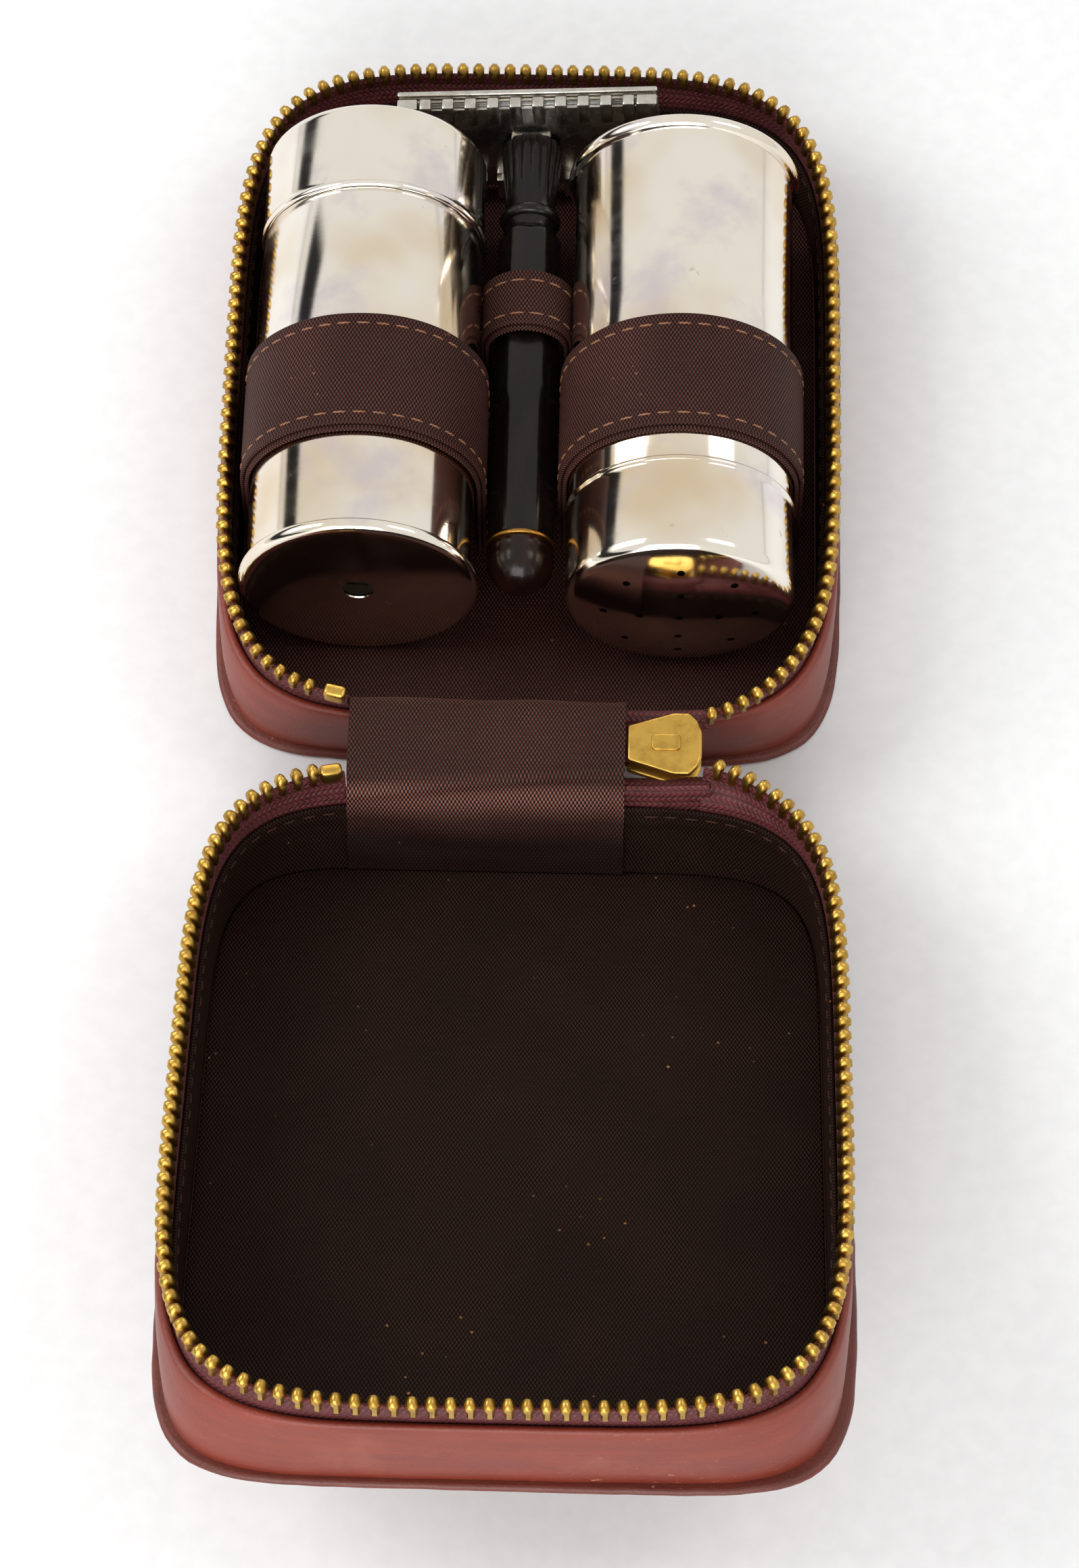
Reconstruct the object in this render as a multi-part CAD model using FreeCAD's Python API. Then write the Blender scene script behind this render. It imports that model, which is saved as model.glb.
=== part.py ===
"""Travel shaving kit: a leather zip case, opened out, with two tins and a safety razor.

Frame: millimetres, +Z up. The origin is on the table, midway between the two halves of the open case.
+Y runs to the half that holds the tools (base), -Y to the empty half (lid), +X to the right.
"""
import FreeCAD
import Part
import os
from math import atan2, cos, degrees, pi, radians, sin

Vector = FreeCAD.Vector
X_AXIS = Vector(1, 0, 0)
Y_AXIS = Vector(0, 1, 0)
Z_AXIS = Vector(0, 0, 1)

# Room round the tools, from the middle of the wall's foot
left_room = 2.3
right_room = 4.5
near_room = 11.6
far_room = 17.1
left_tin_setback = 3.9
head_clearance = 6.8

# Outline of one half: how much its leather edge and its zip chain are wider and longer than its foot
edge_flare_width = 1.0
edge_flare_length = 4.6
rim_flare_width = 1.8
rim_flare_length = 6.9
rim_power = 4.5
edge_power = 5.0
foot_power = 7.0
outline_count = 64

# Heights and the hinge
chain_height = 21.6
zip_rise = 6.0
lid_tilt = 15.5
chain_setback = 0.1
hinge_leather_gap = 0.2

# Plies of the case
leather_thickness = 1.3
lining_thickness = 0.5
tape_thickness = 0.6
board_thickness = 0.8
lip_reach = 1.5
lining_drop = 1.0
ply_gap = 0.1
soft_gap = 0.3
cut_overrun = 5.0

# Zip: tape, teeth, stops, slider and pull
base_phase_share = 0.25
lid_phase_share = 0.75
tape_tuck = 7.0
tape_upright = 1.5
tooth_pitch = 2.53
tooth_width = 0.95
tooth_depth = 2.2
tooth_height = 3.4
tooth_mesh = 0.5
tooth_head = 1.9
stop_length = 3.4
stop_end_gap = 0.4
nose_reach = 2.4
nose_run = 16.0
tail_length = 14.0
tail_width = 4.0
tail_thickness = 1.6
tail_entry = 2.0
clip_length = 2.2
clip_wall = 0.6
clip_gap = 0.05
clip_inset = 3.5
slider_length = 11.2
slider_width = 10.4
slider_plate = 1.1
slider_post = 3.0
slider_panel_height = 0.3
slider_narrow_share = 0.56
slider_shoulder_shares = (0.62, 0.84)
slider_nose_share = 0.42
slider_post_shares = (0.7, 0.95)
slider_panel_shares = (0.3, 0.72)
slider_panel_width_share = 0.3
slider_lug_share = 0.55
lug_wall = 0.8
lug_radius = 1.6
pin_radius = 0.7
pin_gap = 0.05
pull_eye_width = 3.0
pull_width = 6.0
pull_length = 12.5
pull_thickness = 1.2
pull_neck = 2.4

# Hinge strip
strip_left = -26.0
strip_width = 41.5
strip_thickness = 0.6
strip_drop = 1.6

# Tins
tin_radius = 17.25
tin_wall = 0.5
tin_length = 80.8
bead_radius = 0.85
cap_length = 18.5
cap_wall = 0.85
cap_dome = 60.0
cap_round = 2.2
cap_gap = 0.05
lip_bead = 0.55
seam_gap = 0.1
neck_inset = 0.6
neck_length = 6.0
end_hole_radius = 2.3
vent_radius = 0.6
vent_ring_radii = (0.0, 6.0, 11.5)
vent_ring_counts = (1, 4, 8)

# Contents of the tins
stick_clearance = 0.75
stick_foot_room = 10.0
stick_end_room = 6.0
brush_clearance = 2.75
brush_handle_length = 26.0
brush_knot_length = 32.0
brush_profile_shares = ((1.0, 0.0), (1.0, 0.2), (0.6, 0.45), (0.86, 0.8), (0.7, 1.0))
knot_root_share = 0.7
knot_round_share = 0.35

# Loops that hold the tools
loop_thickness = 1.4
tin_loop_width = 20.6
left_loop_place = 17.4
right_loop_place = 22.3
razor_loop_width = 10.8
razor_loop_spacing = 7.2
razor_loop_play = 0.7

# Razor
head_roll_angle = 4.0
blade_length = 40.0
blade_height = 21.6
blade_thickness = 0.1
blade_gap = 0.02
comb_end = 0.75
comb_edge = 1.8
comb_thickness = 1.4
comb_tooth_count = 12
comb_tooth_width = 1.9
comb_tooth_height = 2.6
comb_tooth_reach = 0.6
razor_cap_edge = 0.5
razor_cap_thickness = 2.6
razor_cap_curve = 30.0
stud_radius = 2.0
stud_length = 11.0
stud_gap = 0.05
handle_radius = 5.2
handle_sides = 6
handle_length = 56.6
neck_radius = 4.0
handle_neck_length = 2.5
ring_radius = 4.9
ring_width = 2.0
flare_length = 13.0
flare_radius = 5.0
flute_count = 16
flute_radius = 0.5
flute_place_share = 1.0
band_radius = 5.4
band_width = 0.7
knob_radius = 5.2
knob_collar = 2.4

# Sizes that follow from the ones above
tin_outer = tin_radius + bead_radius
tin_loop_inner = tin_radius + soft_gap
tin_spacing = 2 * (tin_loop_inner + loop_thickness + handle_radius + soft_gap)
foot_width = left_room + 2 * tin_outer + tin_spacing + right_room
foot_length = near_room + tin_length + far_room
edge_width = foot_width + edge_flare_width
edge_length = foot_length + edge_flare_length
rim_width = foot_width + rim_flare_width
rim_length = foot_length + rim_flare_length
edge_height = chain_height - zip_rise
spine_half = zip_rise
tilt = radians(lid_tilt)
chain_gap = 2 * (spine_half + chain_setback)
half_centre = (chain_gap + rim_length) / 2
tooth_top = chain_height + tooth_mesh
tooth_bottom = tooth_top - tooth_height
tape_top = tooth_top - tooth_head - ply_gap
tape_bend_height = tape_top - tape_upright
lining_top = edge_height - lining_drop
leather_inner = tape_thickness / 2 + ply_gap
leather_outer = leather_inner + leather_thickness
lining_outer = -leather_inner
lining_inner = lining_outer - lining_thickness
floor_top = leather_thickness + board_thickness + lining_thickness
strip_right = strip_left + strip_width
strip_under = chain_height - strip_drop
tape_left = strip_left - soft_gap
stop_right = tape_left - stop_end_gap
stop_left = stop_right - stop_length
chain_left = stop_left - stop_end_gap
tape_foot = edge_height - tape_tuck
slider_left = strip_right + soft_gap
chain_right = slider_left + slider_length + 2 * soft_gap
tin_z = floor_top + tin_outer + soft_gap
left_tin_x = left_room + tin_outer - foot_width / 2
right_tin_x = left_tin_x + tin_spacing
right_tin_y = half_centre - foot_length / 2 + near_room
left_tin_y = right_tin_y + left_tin_setback
left_loop_y = left_tin_y + left_loop_place
right_loop_y = right_tin_y + right_loop_place
razor_loop_y = max(left_loop_y, right_loop_y) + tin_loop_width + razor_loop_spacing
neck_radius_outer = tin_radius - neck_inset
neck_bore = neck_radius_outer - tin_wall
cap_bore = neck_radius_outer + cap_gap
cap_radius = cap_bore + cap_wall
seam_y = tin_length - cap_length
stick_radius = neck_bore - stick_clearance
stick_length = seam_y - stick_foot_room - stick_end_room
brush_radius = neck_bore - brush_clearance
comb_length = blade_length + 2 * comb_end
comb_height = blade_height + 2 * comb_edge
razor_cap_height = blade_height + 2 * razor_cap_edge
roll = radians(head_roll_angle)
razor_x = (left_tin_x + right_tin_x) / 2
razor_z = floor_top + soft_gap + comb_height / 2 * cos(roll) + comb_length / 2 * sin(roll)

LEVELS = (
    (0.0, foot_width / 2, foot_length / 2, foot_power),
    (edge_height, edge_width / 2, edge_length / 2, edge_power),
    (tape_bend_height, rim_width / 2, rim_length / 2, rim_power),
    (chain_height, rim_width / 2, rim_length / 2, rim_power),
)


def box(low, high):
    """Box between two corners."""
    size = Vector(high) - Vector(low)
    return Part.makeBox(size.x, size.y, size.z, Vector(low))


def rod(radius, start, length, axis=Y_AXIS):
    """Round bar from a start point."""
    return Part.makeCylinder(radius, length, Vector(start), axis)


def prism(points, travel):
    """Solid swept from a flat outline of straight sides."""
    corners = [Vector(point) for point in points]
    return Part.Face(Part.makePolygon(corners + corners[:1])).extrude(travel)


def join(first, *others):
    """One solid from several that meet, without the seams between them."""
    return first.multiFuse(list(others)).removeSplitter()


def wall_middle(height):
    """Half width, half length and roundness of the wall's middle at a height."""
    below = LEVELS[0]
    for above in LEVELS[1:]:
        if height <= above[0]:
            share = (height - below[0]) / (above[0] - below[0])
            return [low + share * (high - low) for low, high in zip(below[1:], above[1:])]
        below = above
    return list(below[1:])


far_lining_y = half_centre + wall_middle(razor_z)[1] + lining_inner
razor_cap_y = far_lining_y - head_clearance - razor_cap_thickness
razor_blade_y = razor_cap_y - blade_gap - blade_thickness
head_y = razor_blade_y - blade_gap - comb_thickness
flare_start = head_y - stud_gap - flare_length
ring_start = flare_start - ring_width
neck_start = ring_start - handle_neck_length
grip_start = neck_start - handle_length


def nose_share(x, y):
    """How far the zip leans towards its slider: 1 at the slider, 0 on the rest of the rim."""
    run = max(0.0, 1 - abs(x - chain_right) / nose_run)
    return run * run * (3 - 2 * run) if y < half_centre else 0.0


def outline(height, offset):
    """Closed curve round the wall at a height, starting at the middle of the hinge side."""
    half_width, half_length, power = wall_middle(height)
    half_width += offset
    half_length += offset
    lean = nose_reach if height > edge_height else 0.0
    points = []
    for index in range(outline_count):
        turn = 2 * pi * index / outline_count - pi / 2
        across = (abs(cos(turn)) / half_width) ** power
        along = (abs(sin(turn)) / half_length) ** power
        reach = (across + along) ** (-1 / power)
        x = reach * cos(turn)
        y = half_centre + reach * sin(turn)
        points.append(Vector(x, y - lean * nose_share(x, y), height))
    curve = Part.BSplineCurve()
    curve.interpolate(Points=points, PeriodicFlag=True)
    return curve


def outline_wire(height, offset):
    return Part.Wire([outline(height, offset).toShape()])


def shell(heights, outer, inner):
    """Wall between two outlines, through the given heights."""
    outside = Part.makeLoft([outline_wire(height, outer) for height in heights], True, True)
    inside = Part.makeLoft([outline_wire(height, inner) for height in heights], True, True)
    return outside.cut(inside)


def sheet(bottom, thickness, offset):
    """Flat sheet with the wall's outline at its underside."""
    return Part.Face(outline_wire(bottom, offset)).extrude(Vector(0, 0, thickness))


def zip_tape():
    """Tape between the plies, bent out to the chain, and open over the hinge."""
    heights = (tape_foot, edge_height, tape_bend_height, tape_top)
    ring = shell(heights, tape_thickness / 2, -tape_thickness / 2)
    low = (tape_left, -cut_overrun, 0)
    high = (chain_right, half_centre, chain_height + cut_overrun)
    return ring.cut(box(low, high))


def clamp(length, top):
    """Brass piece pinched over the tape's edge, standing at the origin along X."""
    body = box((-length / 2, -tooth_depth / 2, tooth_bottom), (length / 2, tooth_depth / 2, top))
    slot_half = tape_thickness / 2 + ply_gap
    slot_low = (-length / 2 - cut_overrun, -slot_half, tooth_bottom - cut_overrun)
    return body.cut(box(slot_low, (length / 2 + cut_overrun, slot_half, tape_top + ply_gap)))


def set_on_chain(piece, chain, place):
    """Copy of a piece, turned along the chain and moved to a place on it."""
    point = chain.value(place)
    direction = chain.tangent(place)[0]
    copy = piece.copy()
    copy.rotate(Vector(0, 0, 0), Z_AXIS, degrees(atan2(direction.y, direction.x)))
    copy.translate(Vector(point.x, point.y, 0))
    return copy


def zip_teeth(phase_share):
    """Row of teeth from the slider round to the end stop."""
    chain = outline(chain_height, 0.0)
    start = chain.parameter(Vector(chain_right, chain_gap / 2 - nose_reach, chain_height))
    end = chain.parameter(Vector(chain_left, chain_gap / 2, chain_height))
    run = chain.length(start, end)
    count = int(run / tooth_pitch)
    tooth = clamp(tooth_width, tooth_top)
    teeth = []
    for index in range(count):
        place = chain.parameterAtDistance((index + phase_share) * run / count, start)
        teeth.append(set_on_chain(tooth, chain, place))
    return Part.makeCompound(teeth)


def zip_stop():
    """Clip on the end of the tape, just short of the other half's when the case is closed."""
    chain = outline(chain_height, 0.0)
    middle = (stop_left + stop_right) / 2
    place = chain.parameter(Vector(middle, chain_gap / 2, chain_height))
    return set_on_chain(clamp(stop_length, chain_height - ply_gap), chain, place)


def hinge_strip(swing):
    """Half of the cloth strip: over the gap and down the inside of a hinge wall, swung about the fold."""
    def face_y(height):
        half_width, half_length, power = wall_middle(height)
        bow = (1 - (-strip_left / (half_width + lining_inner)) ** power) ** (1 / power)
        return half_centre - bow * (half_length + lining_inner) + soft_gap

    def swung(y, z):
        out = y - spine_half
        up = z - edge_height
        return spine_half + out * cos(swing) - up * sin(swing), edge_height + out * sin(swing) + up * cos(swing)
    foot = floor_top + soft_gap
    under = [
        (0, strip_under),
        (spine_half, strip_under),
        swung(face_y(lining_top), lining_top),
        swung(face_y(foot), foot),
    ]
    crown = [
        (0, strip_under + strip_thickness),
        (spine_half + strip_thickness, strip_under + strip_thickness),
        swung(face_y(lining_top) + strip_thickness, lining_top + strip_thickness),
        swung(face_y(foot) + strip_thickness, foot),
    ]
    section = [(strip_left, y, z) for y, z in under + crown[::-1]]
    return prism(section, Vector(strip_width, 0, 0))


def case_half(phase_share):
    """Pieces of one half, on the +Y side."""
    inset = lining_inner - soft_gap
    return {
        "bottom_panel": sheet(0.0, leather_thickness, leather_outer + lip_reach),
        "side_wall": shell((leather_thickness, tape_foot, edge_height), leather_outer, leather_inner),
        "floor_board": sheet(leather_thickness, board_thickness, inset),
        "floor_lining": sheet(leather_thickness, board_thickness + lining_thickness, inset).cut(
            box((-rim_width, 0, 0), (rim_width, 2 * half_centre, leather_thickness + board_thickness))),
        "wall_lining": shell((leather_thickness, tape_foot, lining_top), lining_outer, lining_inner),
        "zip_tape": zip_tape(),
        "zip_teeth": zip_teeth(phase_share),
        "zip_stop": zip_stop(),
    }


def hinge_leather():
    """Leather under the strip, which carries the lid from fold to fold."""
    half = half_centre - wall_middle(edge_height)[1] - leather_outer - hinge_leather_gap
    low = (strip_left, -half, edge_height - leather_thickness)
    return box(low, (strip_right - tail_entry, half, edge_height))


tail_top = strip_under - soft_gap - clip_wall - clip_gap
tail_bottom = tail_top - tail_thickness
tail_right = slider_left + tail_entry
clip_x = slider_left - clip_inset
slider_roof = tail_top + soft_gap
slider_floor = tail_bottom - soft_gap
pin_z = slider_floor - slider_plate - lug_radius
pin_x = slider_left + slider_lug_share * slider_length


def zip_tail():
    """Ends of the two tapes, sewn together under the strip."""
    low = (tail_right - tail_length, -tail_width / 2, tail_bottom)
    return box(low, (tail_right, tail_width / 2, tail_top))


def zip_bottom_stop():
    """Brass clip round the joined tapes, which keeps the slider on."""
    half = tail_width / 2 + clip_gap
    low_z = tail_bottom - clip_gap
    high_z = tail_top + clip_gap
    body = box((clip_x, -half - clip_wall, low_z - clip_wall),
               (clip_x + clip_length, half + clip_wall, high_z + clip_wall))
    room_low = (clip_x - cut_overrun, -half, low_z)
    return body.cut(box(room_low, (clip_x + clip_length + cut_overrun, half, high_z)))


def slider_sheet(bottom, thickness):
    """Shield-shaped plate of the slider."""
    near, far = slider_shoulder_shares
    half = slider_width / 2
    side = [
        (0, slider_narrow_share * half),
        (near * slider_length, half),
        (far * slider_length, half),
        (slider_length, slider_nose_share * half),
    ]
    corners = [(slider_left + x, -y, bottom) for x, y in side]
    corners += [(slider_left + x, y, bottom) for x, y in side[::-1]]
    return prism(corners, Vector(0, 0, thickness))


def zip_slider():
    """Two plates on a post, a bare raised panel on the inside and a pin for the pull outside."""
    roof = slider_sheet(slider_roof, slider_plate)
    floor = slider_sheet(slider_floor - slider_plate, slider_plate)
    post_left, post_right = [slider_left + share * slider_length for share in slider_post_shares]
    post = box((post_left, -slider_post / 2, slider_floor), (post_right, slider_post / 2, slider_roof))
    panel_left, panel_right = [slider_left + share * slider_length for share in slider_panel_shares]
    panel_half = slider_panel_width_share * slider_width / 2
    panel_top = slider_roof + slider_plate + slider_panel_height
    panel = box((panel_left, -panel_half, slider_roof + slider_plate), (panel_right, panel_half, panel_top))
    pieces = [floor, post, panel]
    inside = pull_eye_width / 2 + pin_gap
    for y in (-inside - lug_wall, inside):
        cheek = rod(lug_radius, (pin_x, y, pin_z), lug_wall)
        stem_low = (pin_x - lug_radius, y, pin_z)
        stem = box(stem_low, (pin_x + lug_radius, y + lug_wall, slider_floor - slider_plate))
        pieces += [cheek, stem]
    pieces.append(rod(pin_radius, (pin_x, -inside - lug_wall, pin_z), 2 * (inside + lug_wall)))
    return join(roof, *pieces)


def zip_pull():
    """Flat tab that hangs from the slider's pin, outside the case."""
    eye = rod(lug_radius - pin_gap, (pin_x, -pull_eye_width / 2, pin_z), pull_eye_width)
    half = pull_thickness / 2
    neck = box((pin_x - half, -pull_eye_width / 2, pin_z - pull_neck),
               (pin_x + half, pull_eye_width / 2, pin_z))
    tab = box((pin_x - half, -pull_width / 2, pin_z - pull_length),
              (pin_x + half, pull_width / 2, pin_z - pull_neck))
    hole = rod(pin_radius + pin_gap, (pin_x, -pull_width, pin_z), 2 * pull_width)
    return join(eye, neck, tab).cut(hole)


def tin_body(hole_radius):
    """Drawn tin along +Y from its closed end at the origin, with a necked mouth for the cap."""
    mouth = seam_y + neck_length
    outside = rod(tin_radius, (0, 0, 0), seam_y)
    neck = rod(neck_radius_outer, (0, 0, 0), mouth)
    bead = Part.makeTorus(tin_radius, bead_radius, Vector(0, bead_radius, 0), Y_AXIS)
    hollow = rod(tin_radius - tin_wall, (0, tin_wall, 0), seam_y - 2 * tin_wall)
    throat = rod(neck_bore, (0, tin_wall, 0), mouth)
    body = join(outside, neck, bead).cut(hollow).cut(throat)
    if hole_radius:
        body = body.cut(rod(hole_radius, (0, -cut_overrun, 0), 2 * cut_overrun))
    return body


def domed(radius, start, inset):
    """Round bar along Y up to the cap's end, domed there with an eased edge, all an inset inside the cap's skin."""
    dome = Part.makeSphere(cap_dome - inset, Vector(0, tin_length - cap_dome, 0))
    bar = rod(radius, (0, start, 0), tin_length - start).common(dome)
    rim = [edge for edge in bar.Edges if edge.Closed and edge.BoundBox.YMin > start + lip_bead]
    return bar.makeFillet(cap_round - inset, rim)


def tin_cap():
    """Push-on cap over the neck, with a rolled lip and a domed end."""
    start = seam_y + seam_gap
    lip = Part.makeTorus(cap_radius - lip_bead / 2, lip_bead, Vector(0, start + lip_bead, 0), Y_AXIS)
    return join(domed(cap_radius, start, 0), lip).cut(domed(cap_bore, start - cut_overrun, tin_wall))


def vented(cap):
    """Cap with rings of small holes through its end."""
    for reach, count in zip(vent_ring_radii, vent_ring_counts):
        for index in range(count):
            turn = 2 * pi * index / count
            place = (reach * cos(turn), tin_length - cut_overrun, reach * sin(turn))
            cap = cap.cut(rod(vent_radius, place, 2 * cut_overrun))
    return cap


def turned(points):
    """Solid of revolution about Y, from radius and length pairs that start and end off the axis."""
    section = [(0, points[0][1], 0)]
    section += [(radius, y, 0) for radius, y in points]
    section.append((0, points[-1][1], 0))
    corners = [Vector(point) for point in section]
    return Part.Face(Part.makePolygon(corners + corners[:1])).revolve(Vector(0, 0, 0), Y_AXIS, 360)


def lie_in_tin(piece, radius):
    """Piece laid on the bottom of the tin, clear of its closed end."""
    drop = tin_radius - tin_wall - radius - soft_gap
    piece.translate(Vector(0, tin_wall + soft_gap, -drop))
    return piece


def shaving_stick():
    return lie_in_tin(rod(stick_radius, (0, stick_foot_room, 0), stick_length), stick_radius)


def brush_handle():
    profile = [(r * brush_radius, y * brush_handle_length) for r, y in brush_profile_shares]
    return lie_in_tin(turned(profile), brush_radius)


def brush_knot():
    """Hair of the brush, wider towards its rounded end."""
    root = brush_handle_length
    tip = root + brush_knot_length
    edge = tip - knot_round_share * brush_knot_length
    narrow = knot_root_share * brush_radius
    return lie_in_tin(turned([(narrow, root), (brush_radius, edge), (narrow, tip)]), brush_radius)


def set_left(piece):
    """Tin pieces of the left tin, cap at the far end."""
    piece.translate(Vector(left_tin_x, left_tin_y, tin_z))
    return piece


def set_right(piece):
    """Tin pieces of the right tin, cap at the near end."""
    piece.rotate(Vector(0, 0, 0), Z_AXIS, 180)
    piece.translate(Vector(right_tin_x, right_tin_y + tin_length, tin_z))
    return piece


def loop(x, z, inner, y, width):
    """Cloth loop sewn to the floor on both sides of a tool."""
    def arch(radius):
        legs = box((x - radius, y, floor_top), (x + radius, y + width, z))
        crown_room = box((x - radius, y, z), (x + radius, y + width, z + radius))
        return join(legs, rod(radius, (x, y, z), width).common(crown_room))
    return arch(inner + loop_thickness).cut(arch(inner))


def razor_handle():
    """Six-sided grip, neck, ring and fluted flare, bored for the stud."""
    turns = [2 * pi * side / handle_sides for side in range(handle_sides)]
    corners = [(razor_x + handle_radius * cos(turn), grip_start, razor_z + handle_radius * sin(turn))
               for turn in turns]
    grip = prism(corners, Vector(0, handle_length, 0))
    neck = rod(neck_radius, (razor_x, neck_start, razor_z), handle_neck_length)
    ring = rod(ring_radius, (razor_x, ring_start, razor_z), ring_width)
    flare_place = Vector(razor_x, flare_start, razor_z)
    flare = Part.makeCone(neck_radius, flare_radius, flare_length, flare_place, Y_AXIS)
    handle = join(grip, neck, ring, flare)
    place_radius = flute_place_share * flare_radius
    for index in range(flute_count):
        turn = 2 * pi * index / flute_count
        start = (razor_x + place_radius * cos(turn), flare_start, razor_z + place_radius * sin(turn))
        handle = handle.cut(rod(flute_radius, start, flare_length + cut_overrun))
    bore_start = head_y - stud_length - stud_gap
    return handle.cut(rod(stud_radius + stud_gap, (razor_x, bore_start, razor_z), stud_length + cut_overrun))


def handle_band():
    """Thin metal line between grip and knob."""
    return rod(band_radius, (razor_x, grip_start - band_width, razor_z), band_width)


def handle_knob():
    """Domed end of the handle."""
    start = grip_start - band_width - knob_collar
    collar = rod(knob_radius, (razor_x, start, razor_z), knob_collar)
    dome_room = rod(knob_radius, (razor_x, start - knob_radius, razor_z), knob_radius)
    dome = Part.makeSphere(knob_radius, Vector(razor_x, start, razor_z)).common(dome_room)
    return join(collar, dome)


def head_piece(piece):
    """Head pieces are drawn upright, then rolled about the handle's axis."""
    piece.rotate(Vector(razor_x, 0, razor_z), Y_AXIS, -head_roll_angle)
    return piece


def upright_plate(length, height, y, thickness):
    low = (razor_x - length / 2, y, razor_z - height / 2)
    return box(low, (razor_x + length / 2, y + thickness, razor_z + height / 2))


def razor_comb_plate():
    """Guard plate with a row of comb teeth along both edges."""
    body = upright_plate(comb_length, comb_height - 2 * comb_tooth_height, head_y, comb_thickness)
    pieces = []
    pitch = (comb_length - comb_tooth_width) / (comb_tooth_count - 1)
    for index in range(comb_tooth_count):
        x = razor_x - comb_length / 2 + index * pitch
        low = (x, head_y - comb_tooth_reach, razor_z - comb_height / 2)
        high = (x + comb_tooth_width, head_y + comb_thickness, razor_z + comb_height / 2)
        middle_low = (x, head_y - comb_tooth_reach, razor_z - comb_height / 2 + 2 * comb_tooth_height)
        middle_high = (x + comb_tooth_width, head_y, razor_z + comb_height / 2 - 2 * comb_tooth_height)
        pieces.append(box(low, high).cut(box(middle_low, middle_high)))
    stud_hole = rod(stud_radius + stud_gap, (razor_x, head_y - cut_overrun, razor_z), 2 * cut_overrun)
    return head_piece(join(body, *pieces).cut(stud_hole))


def razor_blade():
    """Thin blade with a hole for the stud."""
    blade = upright_plate(blade_length, blade_height, razor_blade_y, blade_thickness)
    stud_hole = rod(stud_radius + stud_gap, (razor_x, razor_blade_y - cut_overrun, razor_z), 2 * cut_overrun)
    return head_piece(blade.cut(stud_hole))


def razor_cap():
    """Curved cap over the blade, with the stud that screws into the handle."""
    block = upright_plate(comb_length, razor_cap_height, razor_cap_y, razor_cap_thickness)
    start = (razor_x - comb_length, razor_cap_y + razor_cap_thickness - razor_cap_curve, razor_z)
    block = block.common(rod(razor_cap_curve, start, 2 * comb_length, X_AXIS))
    stud_start = head_y - stud_length
    stud_end = razor_cap_y + razor_cap_thickness / 2
    stud = rod(stud_radius, (razor_x, stud_start, razor_z), stud_end - stud_start)
    return head_piece(join(block, stud))


def mirrored(piece):
    """The same piece across the hinge."""
    return piece.mirror(Vector(0, 0, 0), Y_AXIS)


def lid_piece(piece):
    """The lid mirrors the base, and stands up from its fold by the tilt."""
    piece = mirrored(piece)
    piece.rotate(Vector(0, -spine_half, edge_height), X_AXIS, -lid_tilt)
    return piece


def main():
    """Make every piece and write it under its node's name."""
    pieces = {}
    for name, piece in case_half(base_phase_share).items():
        pieces["base_" + name] = piece
    for name, piece in case_half(lid_phase_share).items():
        pieces["lid_" + name] = lid_piece(piece)
    pieces["base_hinge_strip"] = hinge_strip(0.0)
    pieces["lid_hinge_strip"] = mirrored(hinge_strip(tilt))
    pieces["hinge_leather"] = hinge_leather()
    pieces["zip_tail"] = zip_tail()
    pieces["zip_bottom_stop"] = zip_bottom_stop()
    pieces["zip_slider"] = zip_slider()
    pieces["zip_pull"] = zip_pull()
    pieces["left_tin_loop"] = loop(left_tin_x, tin_z, tin_loop_inner, left_loop_y, tin_loop_width)
    pieces["right_tin_loop"] = loop(right_tin_x, tin_z, tin_loop_inner, right_loop_y, tin_loop_width)
    razor_loop_inner = handle_radius + razor_loop_play
    pieces["razor_loop"] = loop(razor_x, razor_z, razor_loop_inner, razor_loop_y, razor_loop_width)
    pieces["left_tin_body"] = set_left(tin_body(end_hole_radius))
    pieces["left_tin_cap"] = set_left(tin_cap())
    pieces["shaving_stick"] = set_left(shaving_stick())
    pieces["right_tin_body"] = set_right(tin_body(0))
    pieces["right_tin_cap"] = set_right(vented(tin_cap()))
    pieces["brush_handle"] = set_right(brush_handle())
    pieces["brush_knot"] = set_right(brush_knot())
    pieces["razor_handle"] = razor_handle()
    pieces["handle_band"] = handle_band()
    pieces["handle_knob"] = handle_knob()
    pieces["razor_comb_plate"] = razor_comb_plate()
    pieces["razor_blade"] = razor_blade()
    pieces["razor_cap"] = razor_cap()
    os.makedirs("parts", exist_ok=True)
    for name, piece in pieces.items():
        piece.exportStep("parts/" + name + ".step")
        box_here = piece.BoundBox
        print(name, piece.isValid(), len(piece.Solids), round(piece.Volume, 1),
              [round(value, 2) for value in (box_here.XMin, box_here.XMax, box_here.YMin,
                                             box_here.YMax, box_here.ZMin, box_here.ZMax)])


main()
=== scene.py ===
"""Dresses the travel shaving kit: a leather zip case lined with twill, two plated tins and a comb razor.

Shapes are worked out in millimetres in the part's own frame, +Z up, the half with the tools (base)
towards +Y and the empty half (lid) towards -Y, and turned to metres where a mesh is placed.
"""
from bisect import bisect
from math import asin, copysign, cos, degrees, exp, pi, radians, sin, sqrt

import bmesh
import bpy
from mathutils import Matrix, Vector, noise


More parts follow.
